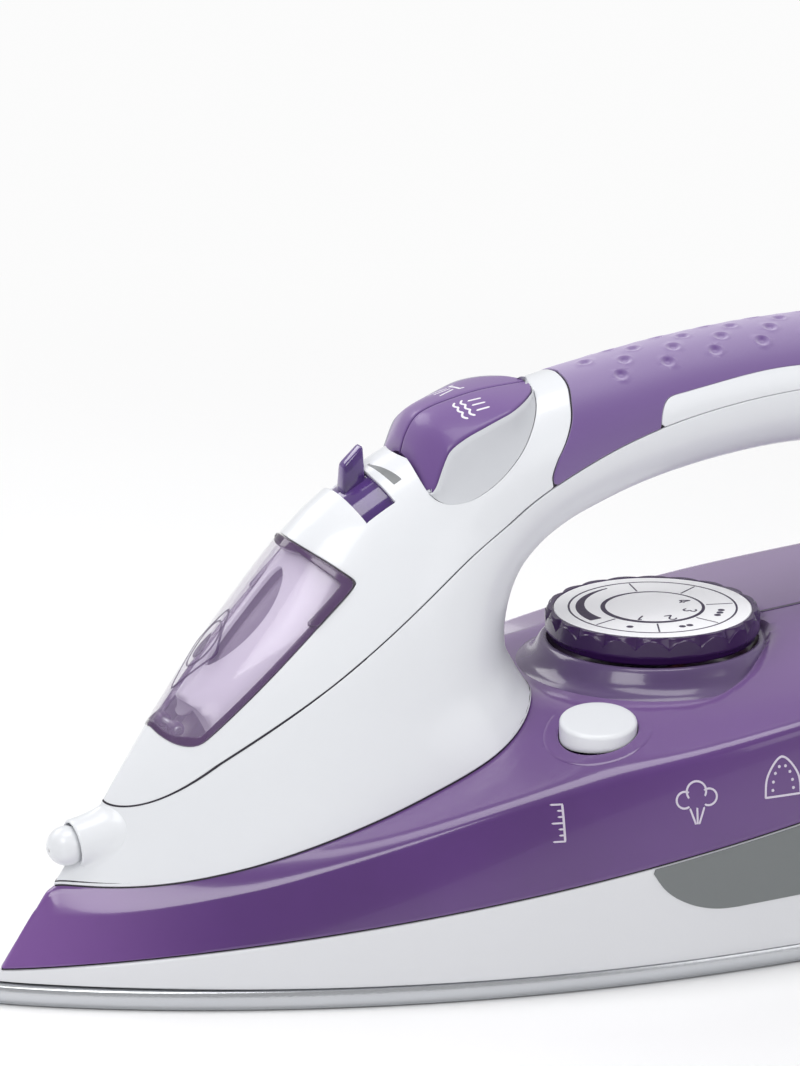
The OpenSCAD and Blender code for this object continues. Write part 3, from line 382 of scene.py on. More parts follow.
def resample(points, spacing, closed=False):
    points = np.array(points, float)
    if closed:
        points = np.vstack([points, points[:1]])
    out = spaced(points, max(2, int(round(arclen(points)[-1] / spacing))) + 1)
    return out[:-1] if closed else out


def dedupe(points, gap=1e-4):
    keep = [0]
    for i in range(1, len(points)):
        if np.linalg.norm(points[i] - points[keep[-1]]) > gap:
            keep.append(i)
    if np.linalg.norm(points[keep[-1]] - points[0]) < gap:
        keep.pop()
    return points[keep]


def round_corners(points, radius, steps=5):
    points = np.array(points, float)
    out = []
    for i in range(len(points)):
        a, b, c = points[i - 1], points[i], points[(i + 1) % len(points)]
        u, v = a - b, c - b
        len_u, len_v = np.linalg.norm(u), np.linalg.norm(v)
        u, v = u / len_u, v / len_v
        half = math.acos(np.clip(np.dot(u, v), -0.9999, 0.9999)) / 2
        cut = min(radius / math.tan(half), 0.45 * len_u, 0.45 * len_v)
        out += [bezier(b + u * cut, b, b + v * cut, k / steps) for k in range(steps + 1)]
    return np.array(out)


def area(loop):
    x, y = loop[:, 0], loop[:, 1]
    return 0.5 * np.sum(x * np.roll(y, -1) - y * np.roll(x, -1))


def inside(loop, points):
    x, y = points[:, 0][:, None], points[:, 1][:, None]
    a, b = loop, np.roll(loop, -1, 0)
    crosses = (a[:, 1] > y) != (b[:, 1] > y)
    with np.errstate(divide="ignore", invalid="ignore"):
        cross_x = (b[:, 0] - a[:, 0]) * (y - a[:, 1]) / (b[:, 1] - a[:, 1]) + a[:, 0]
    return (np.sum(crosses & (x < cross_x), 1) % 2) == 1


def dist_to_loops(loops, points):
    best = np.full(len(points), 1e9)
    for a in loops:
        e = np.roll(a, -1, 0) - a
        len2 = np.maximum(1e-12, np.sum(e * e, 1))
        for k in range(0, len(points), 2000):
            q = points[k:k + 2000]
            w = np.clip(((q[:, None, :] - a) * e).sum(2) / len2, 0, 1)
            dist = np.linalg.norm(q[:, None, :] - (a + w[..., None] * e), axis=2).min(1)
            best[k:k + 2000] = np.minimum(best[k:k + 2000], dist)
    return best


def loop_tangents(loop):
    tangent = np.roll(loop, -1, 0) - np.roll(loop, 1, 0)
    return tangent / np.maximum(1e-9, np.linalg.norm(tangent, axis=1))[:, None]


def offset_loop(loop, distance):
    """Grow (or shrink, if negative) a closed outline."""
    loop = resample(loop, 0.8, True)
    if area(loop) < 0:
        loop = loop[::-1]
    tangent = loop_tangents(loop)
    return loop + distance * np.stack([tangent[:, 1], -tangent[:, 0]], -1)


def line_frame(line):
    """Tangents and left-hand normals of an open line."""
    tangent = np.gradient(line, axis=0)
    tangent /= np.linalg.norm(tangent, axis=1)[:, None]
    return tangent, np.stack([-tangent[:, 1], tangent[:, 0]], -1)


def stroke(points, width):
    """Outline of a line with round ends."""
    line = resample(np.array(points, float), 0.35)
    t, n = line_frame(line)
    angles = np.linspace(0, math.pi, 7)[1:-1]
    end = [line[-1] + width / 2 * (math.cos(f) * n[-1] + math.sin(f) * t[-1]) for f in angles]
    start = [line[0] + width / 2 * (-math.cos(f) * n[0] - math.sin(f) * t[0]) for f in angles]
    return np.vstack([line + n * width / 2, end, (line - n * width / 2)[::-1], start])


def oval(cx, cy, rx, n=24, ry=None):
    angles = np.linspace(0, 2 * math.pi, n, endpoint=False)
    ry = rx if ry is None else ry
    return np.stack([cx + rx * np.cos(angles), cy + ry * np.sin(angles)], -1)


def arc(cx, cz, radius, start, stop, steps):
    angles = [math.radians(start + (stop - start) * k / steps) for k in range(steps + 1)]
    return [(cx + radius * math.cos(f), cz + radius * math.sin(f)) for f in angles]


def near_uv(side_points):
    """Side-view outline (t, z) laid on the handle's near side."""
    s, a = from_side(dense(side_points))
    return to_uv(s, -a)


def cut_at_seam(curve):
    """The part of a near-side curve above the seam's upper edge."""
    s, a = to_sa(curve)
    return curve[np.abs(a) <= seam_a(s) - SEAM_GAP]


def mirror_loop(near_half):
    return np.vstack([near_half, near_half[::-1] * np.array([1.0, -1.0])])


# ---------------------------------------------------------------- mesh builders
def to_metres(points):
    p = np.array(points, float).reshape(-1, 3)
    return np.stack([(p[:, 0] - ORIGIN_T) / 1000, p[:, 1] / 1000, p[:, 2] / 1000], -1)


def register(obj, material, slot=None, rides="iron", replaces=None):
    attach(obj, rides)
    if replaces:
        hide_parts(replaces)


def make(name, points, faces, material, vertex_normals=None):
    mesh = bpy.data.meshes.new(name)
    mesh.from_pydata([tuple(v) for v in to_metres(points)], [],
                     [tuple(int(i) for i in face) for face in faces])
    mesh.validate(verbose=False)
    mesh.update()
    mesh.polygons.foreach_set("use_smooth", [True] * len(mesh.polygons))
    obj = bpy.data.objects.new(name, mesh)
    bpy.context.scene.collection.objects.link(obj)
    mesh.materials.append(mats[material])
    if vertex_normals is not None:
        n = vertex_normals / np.maximum(1e-9, np.linalg.norm(vertex_normals, axis=1))[:, None]
        mesh.normals_split_custom_set_from_vertices([tuple(v) for v in n])
    mesh.update()
    return obj


def panel(name, surface, outline, holes=(), *, material, slot=None, rides="iron",
          replaces=None, step=2.0, edge_step=0.9, thick=1.6, roll=0.3, roll_steps=3,
          extra=None, back=True, wraps=False):
    """A moulded panel: (u, v) outlines laid on a surface, with rolled edges, walls and a back.

    wraps keeps the edges that meet on the handle's underside from being pushed apart.
    """
    loops = [resample(loop, edge_step, True) for loop in [outline, *holes]]
    loops = [loop if (area(loop) > 0) == (i == 0) else loop[::-1]
             for i, loop in enumerate(loops)]

    def covered(points):
        mask = inside(loops[0], points)
        for hole in loops[1:]:
            mask &= ~inside(hole, points)
        return mask

    # staggered inner points, clear of the edges
    low, high = loops[0].min(0), loops[0].max(0)
    gx, gy = np.meshgrid(np.arange(low[0] + step / 2, high[0], step),
                         np.arange(low[1] + step / 2, high[1], step), indexing="ij")
    gy = gy + (np.arange(gx.shape[0]) % 2)[:, None] * step * 0.5
    inner = np.stack([gx.ravel(), gy.ravel()], -1)
    if extra is not None:
        inner = np.vstack([inner, extra])
    inner = inner[covered(inner)]
    inner = inner[dist_to_loops(loops, inner) > 0.62 * min(step, edge_step)]

    edges, starts, count = [], [], 0
    for loop in loops:
        m = len(loop)
        starts.append(count)
        edges += [(count + i, count + (i + 1) % m) for i in range(m)]
        count += m
    flat = [Vector(tuple(p)) for p in np.vstack([*loops, inner])]
    flat, _, tris, sources, _, _ = delaunay_2d_cdt(flat, edges, [], 0, 1e-7)
    uv = np.array([tuple(v) for v in flat])
    index = {old: new for new, olds in enumerate(sources) for old in olds}
    tris = np.array([face[:3] for face in tris])
    tris = tris[covered(uv[tris].mean(1))]
    corner = uv[tris]
    size = np.cross(corner[:, 1] - corner[:, 0], corner[:, 2] - corner[:, 0])
    tris, size = tris[np.abs(size) > 1e-9], size[np.abs(size) > 1e-9]
    tris = np.where((size > 0)[:, None], tris, tris[:, ::-1])

    points, normal = surface(uv)
    # turn the faces round where positive area in (u, v) faces inwards
    corner = points[tris[:200]]
    facing = np.cross(corner[:, 1] - corner[:, 0], corner[:, 2] - corner[:, 0])
    flip = np.sum(np.einsum("ij,ij->i", facing, normal[tris[:200, 0]])) < 0
    tris = tris.tolist()
    verts, vert_normals = [points], [normal]
    faces = [face[::-1] if flip else face for face in tris]
    front_count = len(points)
    count = front_count
    if back:
        verts.append(points - normal * thick)
        vert_normals.append(-normal)
        faces += [[front_count + i for i in (face if flip else face[::-1])] for face in tris]
        count *= 2

    def join(a, b):
        for i in range(len(a)):
            j = (i + 1) % len(a)
            quad = [a[i], b[i], b[j], a[j]]
            faces.append(quad[::-1] if flip else quad)

    for start, loop in zip(starts, loops):
        m = len(loop)
        rim = np.array([index[start + i] for i in range(m)])
        p, n = points[rim], normal[rim]
        out = np.cross(np.roll(p, -1, 0) - np.roll(p, 1, 0), n)
        out /= np.maximum(1e-9, np.linalg.norm(out, axis=1))[:, None]
        tangent = loop_tangents(loop)
        inward, _ = surface(loop + 0.15 * np.stack([-tangent[:, 1], tangent[:, 0]], -1))
        sign = np.sign(np.einsum("ij,ij->i", out, inward - p))
        out *= -(np.sign(sign.sum()) or 1)
        if wraps:
            meets = np.abs(loop[:, 1]) > 180 * V_SCALE - 0.05
            out = np.where(meets[:, None], 0.02 * out, out)
        rings = []
        for k in range(1, roll_steps + 1):
            f = math.radians(90 * k / roll_steps)
            rings.append((p + roll * math.sin(f) * out - roll * (1 - math.cos(f)) * n,
                          math.cos(f) * n + math.sin(f) * out))
        rings.append((p + roll * out - max(thick, roll + 0.02) * n, out))
        previous = rim
        for ring, ring_normals in rings:
            current = np.arange(count, count + m)
            verts.append(ring)
            vert_normals.append(ring_normals)
            count += m
            join(previous, current)
            previous = current
        if back:
            join(previous, rim + front_count)
    obj = make(name, np.vstack(verts), faces, material, np.vstack(vert_normals))
    register(obj, material, slot, rides, replaces)
    return obj


def sheet(name, rows, material, slot=None, rides="iron", replaces=None, join_rows=False,
          close_row=False, sharp=60):
    """Rows of points as one smooth sheet, creased where faces meet above sharp degrees."""
    points = np.array(rows, float)
    n, m = points.shape[:2]
    faces = []
    for i in range(n if join_rows else n - 1):
        for j in range(m if close_row else m - 1):
            this, after, right = i * m, ((i + 1) % n) * m, (j + 1) % m
            faces.append([this + j, this + right, after + right, after + j])
    obj = make(name, points, faces, material)
    bm = bmesh.new()
    bm.from_mesh(obj.data)
    bmesh.ops.remove_doubles(bm, verts=bm.verts, dist=1e-6)
    bmesh.ops.dissolve_degenerate(bm, dist=1e-7, edges=bm.edges)
    bmesh.ops.recalc_face_normals(bm, faces=bm.faces)
    for face in bm.faces:
        face.smooth = True
    for edge in bm.edges:
        if len(edge.link_faces) == 2 and edge.calc_face_angle(0) > math.radians(sharp):
            edge.smooth = False
    bm.to_mesh(obj.data)
    bm.free()
    obj.data.update()
    register(obj, material, slot, rides, replaces)
    return obj


def turned(name, profile, origin, axes, n, material, closed=False, sharp=34, **told):
    """A profile of (radius, height), or a function of the step, turned about axes[2]."""
    rows = []
    for i in range(n):
        angle = 2 * math.pi * i / n
        out = math.cos(angle) * axes[0] + math.sin(angle) * axes[1]
        section = profile(i) if callable(profile) else profile
        rows.append([origin + out * radius + axes[2] * height for radius, height in section])
    return sheet(name, rows, material, join_rows=True, close_row=closed, sharp=sharp, **told)


def bevel_box(name, size, bevel, segments, place, material, shape=None, **told):
    """A bevelled box centred on 0, optionally reshaped first, then put in place by a map."""
    bm = bmesh.new()
    bmesh.ops.create_cube(bm, size=1.0)
    for v in bm.verts:
        v.co = Vector((v.co.x * size[0], v.co.y * size[1], v.co.z * size[2]))
        if shape:
            v.co = Vector(shape(v.co))
    bmesh.ops.bevel(bm, geom=bm.edges[:] + bm.verts[:], offset=bevel, segments=segments,
                    profile=0.5, affect="EDGES", clamp_overlap=True)
    for v in bm.verts:
        v.co = Vector([float(c) for c in to_metres([place(v.co.x, v.co.y, v.co.z)])[0]])
    bmesh.ops.recalc_face_normals(bm, faces=bm.faces)
    mesh = bpy.data.meshes.new(name)
    bm.to_mesh(mesh)
    bm.free()
    for face in mesh.polygons:
        face.use_smooth = True
    obj = bpy.data.objects.new(name, mesh)
    bpy.context.scene.collection.objects.link(obj)
    mesh.materials.append(mats[material])
    register(obj, material, **told)


def printed(name, outline, place, base, height, material, holes=(), edge_step=0.5, **told):
    """A thin raised mark; place maps flat (x, y) and a height to 3-D."""
    def surface(uv):
        top = np.array([place(x, y, base + height) for x, y in uv])
        ahead = np.array([place(x, y, base + height + 0.5) for x, y in uv])
        n = ahead - top
        return top, n / np.linalg.norm(n, axis=1)[:, None]

    panel(name, surface, outline, holes, material=material, step=2.0, edge_step=edge_step,
          thick=height + 0.05, roll=0.03, roll_steps=1, back=False, **told)


def handle_mark(name, outline, grow, material, holes=(), step=1.6, **told):
    """A thin mark lying on the handle."""
    panel(name, shell(grow), outline, holes, material=material, step=step, edge_step=0.5,
          thick=0.12, roll=0.05, roll_steps=1, back=False, **told)


def shoot(tree, point, direction):
    """Where a ray meets the tree, in mm, or None."""
    start = Vector([float(c) for c in to_metres([point])[0]])
    hit = tree.ray_cast(start, Vector([float(c) for c in direction]), 0.08)[0]
    if hit is None:
        return None
    return np.array([hit.x * 1000 + ORIGIN_T, hit.y * 1000, hit.z * 1000])


def both_sides(rows):
    """Far-side rows joined to their mirror image at the nose."""
    rows = np.array(rows)
    return np.concatenate([rows[:, ::-1] * MIRROR, rows[:, 1:]], 1)


# ---------------------------------------------------------------- materials
def srgb(*rgb):
    """8-bit sRGB to linear."""
    return tuple((v / 255 / 12.92) if v / 255 <= 0.04045 else ((v / 255 + 0.055) / 1.055) ** 2.4
                 for v in rgb)


def add_node(tree, kind, values=None, links=None, **settings):
    node = tree.nodes.new("ShaderNode" + kind)
    for key, value in settings.items():
        setattr(node, key, value)
    for socket, value in (values or {}).items():
        node.inputs[socket].default_value = value
    for socket, source in (links or {}).items():
        tree.links.new(source, node.inputs[socket])
    return node


def mix_colour(tree, factor, first, second):
    """Colour socket fading from a first socket to a fixed second colour."""
    return add_node(tree, "Mix", {7: (*second, 1)}, {"Factor": factor, 6: first},
                    data_type="RGBA").outputs[2]


def finish(name, colour, rough, coat=0.0, metal=0.0, grain=0.0, grain_scale=900, drift=0.03,
           drift_scale=14, alpha=1.0, specular=0.5, edge=None, glow=None):
    """Plastic or metal: colour drift, fine grain in roughness and bump.

    edge is a colour painted in at grazing angles: painted sheen where it is lighter than colour,
    painted shade where it is darker; glow is emission colour and strength.
    """
    material = bpy.data.materials.new(name)
    material.use_nodes = True
    tree = material.node_tree
    shader = tree.nodes["Principled BSDF"]
    place = {"Vector": add_node(tree, "TexCoord").outputs["Object"]}
    cloud = add_node(tree, "TexNoise", {"Scale": drift_scale, "Detail": 4}, place)
    ramp = add_node(tree, "ValToRGB", links={"Fac": cloud.outputs["Fac"]})
    base = np.array(colour, float)
    for stop, position, sign in zip(ramp.color_ramp.elements, (0.3, 0.7), (-1, 1)):
        stop.position = position
        stop.color = (*np.clip(base * (1 + sign * drift), 0, 1), 1)
    tint = ramp.outputs["Color"]
    # the base colour fades to the edge colour towards grazing angles: painted sheen where edge is
    # lighter, painted shade where it is darker
    if edge is not None:
        weight = add_node(tree, "LayerWeight", {"Blend": 0.42})
        tint = mix_colour(tree, weight.outputs["Facing"], tint, edge)
    tree.links.new(tint, shader.inputs["Base Color"])
    fine = add_node(tree, "TexNoise", {"Scale": grain_scale, "Detail": 3}, place).outputs["Fac"]
    spread = add_node(tree, "MapRange", {"To Min": max(0.02, rough * 0.85),
                                         "To Max": min(1, rough * 1.15 + 0.01)},
                      {"Value": fine})
    tree.links.new(spread.outputs["Result"], shader.inputs["Roughness"])
    if grain > 0:
        bump = add_node(tree, "Bump", {"Strength": min(1, grain), "Distance": 0.00012},
                        {"Height": fine})
        tree.links.new(bump.outputs["Normal"], shader.inputs["Normal"])
    values = {"Metallic": metal, "IOR": 1.49, "Specular IOR Level": specular,
              "Coat Weight": coat, "Coat Roughness": 0.06, "Alpha": alpha}
    if glow:
        values.update({"Emission Color": (*glow[:3], 1), "Emission Strength": glow[3]})
    for socket, value in values.items():
        shader.inputs[socket].default_value = value
    return material


# keyed by material slot
mats = {
    "white": finish("white_gloss", srgb(224, 226, 230), rough=0.3, coat=0.3, grain=0.012,
                    grain_scale=700, drift=0.010),
    "skirt": finish("skirt_white", srgb(214, 215, 219), rough=0.4, coat=0.1, grain=0.12,
                    grain_scale=1400, drift=0.012),
    "grey": finish("panel_grey", srgb(112, 116, 117), rough=0.42, grain=0.25, grain_scale=2200),
    "bezel": finish("flank_silver", srgb(202, 204, 209), rough=0.42, grain=0.12,
                    grain_scale=1800, drift=0.012),
    # tank: the edge colour is a painted sheen, lighter purple at grazing angles
    "tank": finish("tank_purple", srgb(80, 42, 110), rough=0.17, coat=0.45, grain=0.015,
                   grain_scale=500, drift=0.12, drift_scale=20, alpha=0.96,
                   edge=srgb(150, 120, 174)),
    "tank_inner": finish("tank_liner", srgb(120, 104, 138), rough=0.3, drift=0.04),
    # lid: the edge colour is painted shade, darker at grazing angles
    "lid": finish("lid_lilac", srgb(200, 178, 220), rough=0.06, coat=0.9, alpha=0.2,
                  edge=srgb(110, 80, 140)),
    # lid rim: colour darker than the pane, painted shade of the thick translucent rim; the edge
    # colour adds painted shade at grazing angles
    "lid_rim": finish("lid_rim_dark", srgb(92, 66, 108), rough=0.1, coat=0.7, drift=0.12,
                      drift_scale=60, alpha=0.78, edge=srgb(44, 28, 52)),
    # grip: the edge colour is a painted sheen, pale lilac at grazing angles
    "grip": finish("grip_soft", srgb(100, 70, 132), rough=0.48, grain=0.35, grain_scale=2600,
                   drift_scale=20, edge=srgb(196, 184, 212), specular=0.45),
    # button: the edge colour is a painted sheen, lighter at grazing angles
    "button": finish("button_purple", srgb(98, 66, 130), rough=0.36, coat=0.15, grain=0.1,
                     grain_scale=2200, edge=srgb(140, 114, 166)),
    # dark purple: the edge colour is a painted sheen, lighter at grazing angles
    "dark": finish("dark_purple", srgb(48, 16, 70), rough=0.24, coat=0.25, specular=0.35,
                   drift=0.10, drift_scale=40, edge=srgb(58, 30, 84)),
    # lever: the edge colour is a painted sheen, lighter at grazing angles
    "lever": finish("lever_purple", srgb(58, 24, 98), rough=0.08, coat=0.9, drift=0.25,
                    drift_scale=120, alpha=0.93, edge=srgb(120, 92, 160)),
    "disc": finish("disc_white", srgb(252, 252, 254), rough=0.5, coat=0.1, grain=0.05,
                   drift=0.008),
    "ink": finish("ink_purple", srgb(46, 28, 66), rough=0.45, drift=0.05, drift_scale=80),
    "print_white": finish("print_white", srgb(238, 236, 242), rough=0.45, drift=0.01,
                          grain=0.05),
    # collar: the edge colour is a painted sheen, lighter at grazing angles
    "collar": finish("collar_smoke", srgb(84, 62, 108), rough=0.2, coat=0.4, drift=0.10,
                     drift_scale=40, alpha=0.86, edge=srgb(134, 116, 154)),
    "lamp": finish("lamp_amber", srgb(255, 120, 60), rough=0.2, coat=0.5, drift=0.05,
                   glow=(1.0, 0.25, 0.08, 0.6)),
    "rubber": finish("foot_rubber", srgb(46, 45, 50), rough=0.7, grain=0.5, grain_scale=1800,
                     drift=0.08),
    "seal": finish("silicone_seal", srgb(168, 84, 60), rough=0.6, grain=0.2, drift=0.05),
    "steel": finish("steel", srgb(186, 188, 192), rough=0.25, metal=1.0, grain=0.15,
                    grain_scale=3000, drift=0.04),
    "screw": finish("zinc_screw", srgb(170, 170, 168), rough=0.35, metal=1.0, grain=0.3,
                    grain_scale=2500, drift=0.05),
    "sole": finish("sole_metal", srgb(196, 198, 202), rough=0.22, metal=0.9, grain=0.2,
                   grain_scale=1600),
    "cast": finish("cast_aluminium", srgb(160, 161, 164), rough=0.5, metal=0.85, grain=0.8,
                   drift=0.06),
    "element": finish("element_sheath", srgb(92, 90, 92), rough=0.45, metal=0.8, grain=0.4,
                      grain_scale=1500, drift=0.12),
    "ceramic": finish("ceramic", srgb(222, 218, 206), rough=0.35, grain=0.2),
    "inner": finish("natural_moulding", srgb(216, 214, 208), rough=0.45, grain=0.15,
                    drift=0.02),
    "cord": finish("cord_sheath", srgb(62, 60, 66), rough=0.55, grain=0.4, grain_scale=2400,
                   drift=0.06),
    "brass": finish("brass", srgb(190, 152, 90), rough=0.3, metal=1.0, grain=0.2, drift=0.05),
    "basin": finish("basin_white", srgb(236, 232, 240), rough=0.25, coat=0.3, drift=0.02),
    "basin_deep": finish("basin_shadow", srgb(128, 122, 134), rough=0.35, drift=0.10,
                         drift_scale=60),
    # emboss: darker purple marks, painted shade standing in for the lid's embossed relief
    "emboss": finish("emboss_line", srgb(84, 62, 104), rough=0.15, coat=0.5, drift=0.1,
                     drift_scale=50, alpha=0.75),
    "gap": finish("joint_shadow", srgb(40, 34, 46), rough=0.6, drift=0.1, drift_scale=40),
    "scale": finish("scale_grey", srgb(120, 122, 124), rough=0.4, drift=0.35, drift_scale=70),
}
mats["flank"] = mats["bezel"]


def paint_light_on_tank_nose():
    """Painted light: fade the tank towards a lighter purple at the nose."""
    tree = mats["tank"].node_tree
    base = tree.nodes["Principled BSDF"].inputs["Base Color"]
    tint = base.links[0].from_socket
    place = add_node(tree, "TexCoord").outputs["Object"]
    split = add_node(tree, "SeparateXYZ", links={0: place})
    fade = add_node(tree, "MapRange", {"From Min": -0.085, "From Max": -0.135, "To Max": 0.5},
                    {"Value": split.outputs["X"]}, interpolation_type="SMOOTHSTEP")
    tree.links.new(mix_colour(tree, fade.outputs["Result"], tint, srgb(140, 96, 168)), base)


def dress_cad():
    slots = {part["node"]: part["material_slot"] for part in frame["record"]["subparts"]}
    for node, obj in frame["nodes"].items():
        obj.data.materials.clear()
        obj.data.materials.append(mats.get(slots.get(node, "inner"), mats["inner"]))


paint_light_on_tank_nose()
dress_cad()
mats["mark"] = finish("mark_silver", srgb(206, 198, 214), rough=0.4, drift=0.02, grain=0.05)

# ---------------------------------------------------------------- handle outlines
# side views: t, z
GRIP_FRONT = [[140.9, 111.5], [140.6, 113.7], [140.4, 116], [141.8, 119.5], [144.1, 123.2],
              [146.4, 127.8], [147.8, 132.1], [148.9, 134.7], [149.3, 136.4]]
KEY_HOUSING = [[107.6, 121.6], [108.1, 118.6], [109.2, 115.4], [111, 113.3], [114, 112.3],
               [119, 112.8], [124, 115], [128.5, 118.1], [133, 122.4], [136.4, 126.8],
               [138.8, 130.4], [140.2, 132.8], [141.4, 134.9]]
LID = [[43.4, 63.4], [44.6, 61.6], [47.2, 60.2], [50.6, 60.3], [53.2, 62.3], [60, 68.9],
       [70.3, 79], [80, 88.3], [87.6, 95.4], [88.3, 96.9], [87.4, 98], [83.2, 101.2],
       [78.2, 104.6]]
INLAY_TOP = [[168.7, 123.2], [168.9, 125.2], [169.4, 128], [170.5, 130.2], [172.3, 131.4],
             [176, 132], [183, 133], [192, 134.2], [200, 134.9], [208, 135], [218, 134.6],
             [226, 133.9], [233, 133]]
GRIP_CURVE = spline(GRIP_FRONT, 8)
KEY_HOLE = mirror_loop(near_uv(spline(KEY_HOUSING, 6)))
LID_HOLE = mirror_loop(near_uv(spline(LID, 6)))
HANDLE = shell()


def grip_edge(shift):
    """Front edge of the grip, moved back by shift, from the seam to the crest."""
    edge = cut_at_seam(near_uv(GRIP_CURVE + np.array([shift, 0])))
    return edge[np.argsort(edge[:, 1])]


# the lever's axle leans back along the crest
LEVER_O = np.array([103.1, 0, 101.7])
LEVER_SLOPE = math.atan2(0.489, 0.872)
LEVER_X = np.array([math.cos(LEVER_SLOPE), 0, math.sin(LEVER_SLOPE)])
LEVER_UP = np.array([-LEVER_X[2], 0, LEVER_X[0]])
LEVER_MARK_R = 16.4     # radius of the window and the printed wedge


def lever_point(x, angle, radius):
    """x along the axle, angle in degrees about it from the crest."""
    angle = math.radians(angle)
    return LEVER_O + x * LEVER_X + radius * (math.cos(angle) * LEVER_UP
                                             + math.sin(angle) * YDIR)


def build_upper_shell():
    edge = grip_edge(-0.5)
    s_edge = to_sa(edge[:1])[0][0]
    s = np.concatenate([np.linspace(1.462, 1.7, 16), np.linspace(1.72, s_edge - 0.02, 120)])
    seam = to_uv(s, -np.maximum(0, seam_a(s) - SEAM_GAP))
    half_x, half_a = 4.5, 50
    window = [lever_point(-half_x, a, LEVER_MARK_R) for a in np.linspace(-half_a, half_a, 15)]
    window += [lever_point(half_x, a, LEVER_MARK_R) for a in np.linspace(half_a, -half_a, 15)]
    holes = [offset_loop(KEY_HOLE, 0.35), offset_loop(LID_HOLE, 0.45), nearest_uv(window)]
    return panel("upper_shell_skin", HANDLE, mirror_loop(np.vstack([seam, edge])), holes,
                 material="white", replaces="upper_shell", step=1.9, thick=1.15, roll=0.28)


# ---------------------------------------------------------------- soft grip and side inlays
def dimple_centres():
    """(s, a) of the dimples: five staggered rows along the crest."""
    pitch = 13.0
    out = []
    for row, y in enumerate([-8.8, -4.4, 0, 4.4, 8.8]):
        for k in range(6):
            t = 157.0 + pitch * k + (pitch / 2 if row % 2 else 0)
            if t > 226:
                continue
            s = float(np.interp(t + 0.35 * abs(y), RIBS[9:14, 0], range(9, 14)))
            angles = np.linspace(0, 60, 61)
            across = body(np.full(61, s), angles)[:, 1]
            out.append((s, float(np.interp(abs(y), across, angles)) * (1 if y > 0 else -1)))
    return np.array(out)


DIMPLES = dimple_centres()
DIMPLE_POINTS = body(DIMPLES[:, 0], DIMPLES[:, 1])


def grip_surface(s, a):
    """Handle with dimples pressed in, a faint ridge round each."""
    s, a = np.asarray(s, float), np.asarray(a, float)
    p = body(s, a)
    n = normals(body, s, a, 0.012, 0.6, handle_centre(s))
    d = np.full(s.shape, 9.0)
    for centre in DIMPLE_POINTS:
        d = np.minimum(d, np.linalg.norm(p - centre, axis=-1))
    ridge = smooth(1.5, 1.9, d) - smooth(1.9, 2.5, d)
    depth = 0.62 * (1 - smooth(0.55, 1.75, d)) - 0.10 * ridge
    return p - n * depth[..., None] + n * 0.08


def dimple_mesh_points():
    """Rings of mesh points that resolve each dimple."""
    out = []
    for u, v in to_uv(DIMPLES[:, 0], DIMPLES[:, 1]):
        for radius in (0.0, 0.45, 0.85, 1.2, 1.5, 1.8, 2.15):
            count = 1 if radius == 0 else max(8, int(radius * 10))
            for i in range(count):
                f = 2 * math.pi * i / count
                out.append((u + radius * math.cos(f), v + radius * math.sin(f) * 1.15))
    return np.array(out)


def build_grip():
    inlay = near_uv(spline(INLAY_TOP, 6))
    s, a = to_sa(inlay)
    inlay = inlay[(np.abs(a) <= seam_a(s) - SEAM_GAP) & (s < HANDLE_END - 0.03)]
    s_inlay = to_sa(inlay[:1])[0][0]
    a_end = to_sa(inlay[-1:])[1][0]
    edge = grip_edge(0.5)
    s = np.linspace(to_sa(edge[:1])[0][0] + 0.02, s_inlay - 0.01, 40)
    half = np.vstack([edge[::-1], to_uv(s, -(seam_a(s) - SEAM_GAP)), inlay,
                      [to_uv(HANDLE_END, a_end)],
                      to_uv(np.full(14, HANDLE_END), np.linspace(a_end * 0.93, a_end * 0.02, 14))])
    panel("handle_grip_soft", on_handle(grip_surface, (0.004, 0.2)), mirror_loop(half),
          material="grip", replaces="handle_grip", step=1.7, extra=dimple_mesh_points())

    # the white inlays lie between the grip's side edge and the seam
    s, a = to_sa(inlay)
    top = to_uv(s, a - 2.2)
    s, a = to_sa(top)
    top = top[(s > s_inlay + 0.08) & (np.abs(a) < seam_a(s) - SEAM_GAP)]
    s = np.linspace(HANDLE_END, to_sa(top[:1])[0][0], 60)
    bottom = to_uv(s, -(seam_a(s) - SEAM_GAP))
    a = np.linspace(to_sa(top[-1:])[1][0], -(seam_a(HANDLE_END) - SEAM_GAP), 7)[1:-1]
    loop = np.vstack([top, to_uv(np.full(5, HANDLE_END), a), bottom])
    for side, label in SIDES:
        panel("grip_inlay_" + label, HANDLE, loop * np.array([1, -side]), material="white",
              step=1.8, thick=1.4)


def build_lower_shell():
    s = np.concatenate([np.linspace(SEAM_START, 1.7, 16), np.linspace(1.74, HANDLE_END, 220)])
    a = seam_a(s) + SEAM_GAP * np.minimum(1, 0.25 + (s - SEAM_START) / 0.1)
    end_s = np.full(60, HANDLE_END)
    outline = dedupe(np.vstack([
        to_uv(np.zeros(200), np.linspace(-180, 180, 200)),
        to_uv(np.linspace(0, HANDLE_END, 260)[1:], np.full(259, 180)),
        to_uv(end_s, np.linspace(180, a[-1], 60))[1:],
        to_uv(s, a)[::-1][1:],
        to_uv(s, -a),
        to_uv(end_s, np.linspace(-a[-1], -180, 60))[1:],
        to_uv(np.linspace(HANDLE_END, 0, 260)[1:-1], np.full(258, -180))]))
    return panel("lower_shell_skin", shell(lift=0.9), outline, material="white",
                 replaces="lower_shell", thick=1.2, roll=0.28, wraps=True)


# ---------------------------------------------------------------- tank
ROW_U = (np.arange(151) / 150) ** 1.5       # stations from nose to back, closer at the nose
DECK_START = 14.2


def side_row(t, z, width, inset):
    """One level of a side wall, y = 0 at the nose."""
    nose = np.minimum(t - 0.2, nose_t(z))
    y = np.where(ROW_U <= 0, 0, np.maximum(0.02, plan(t, nose, width)) - inset)
    return np.stack([t, np.maximum(0, y), z], -1)


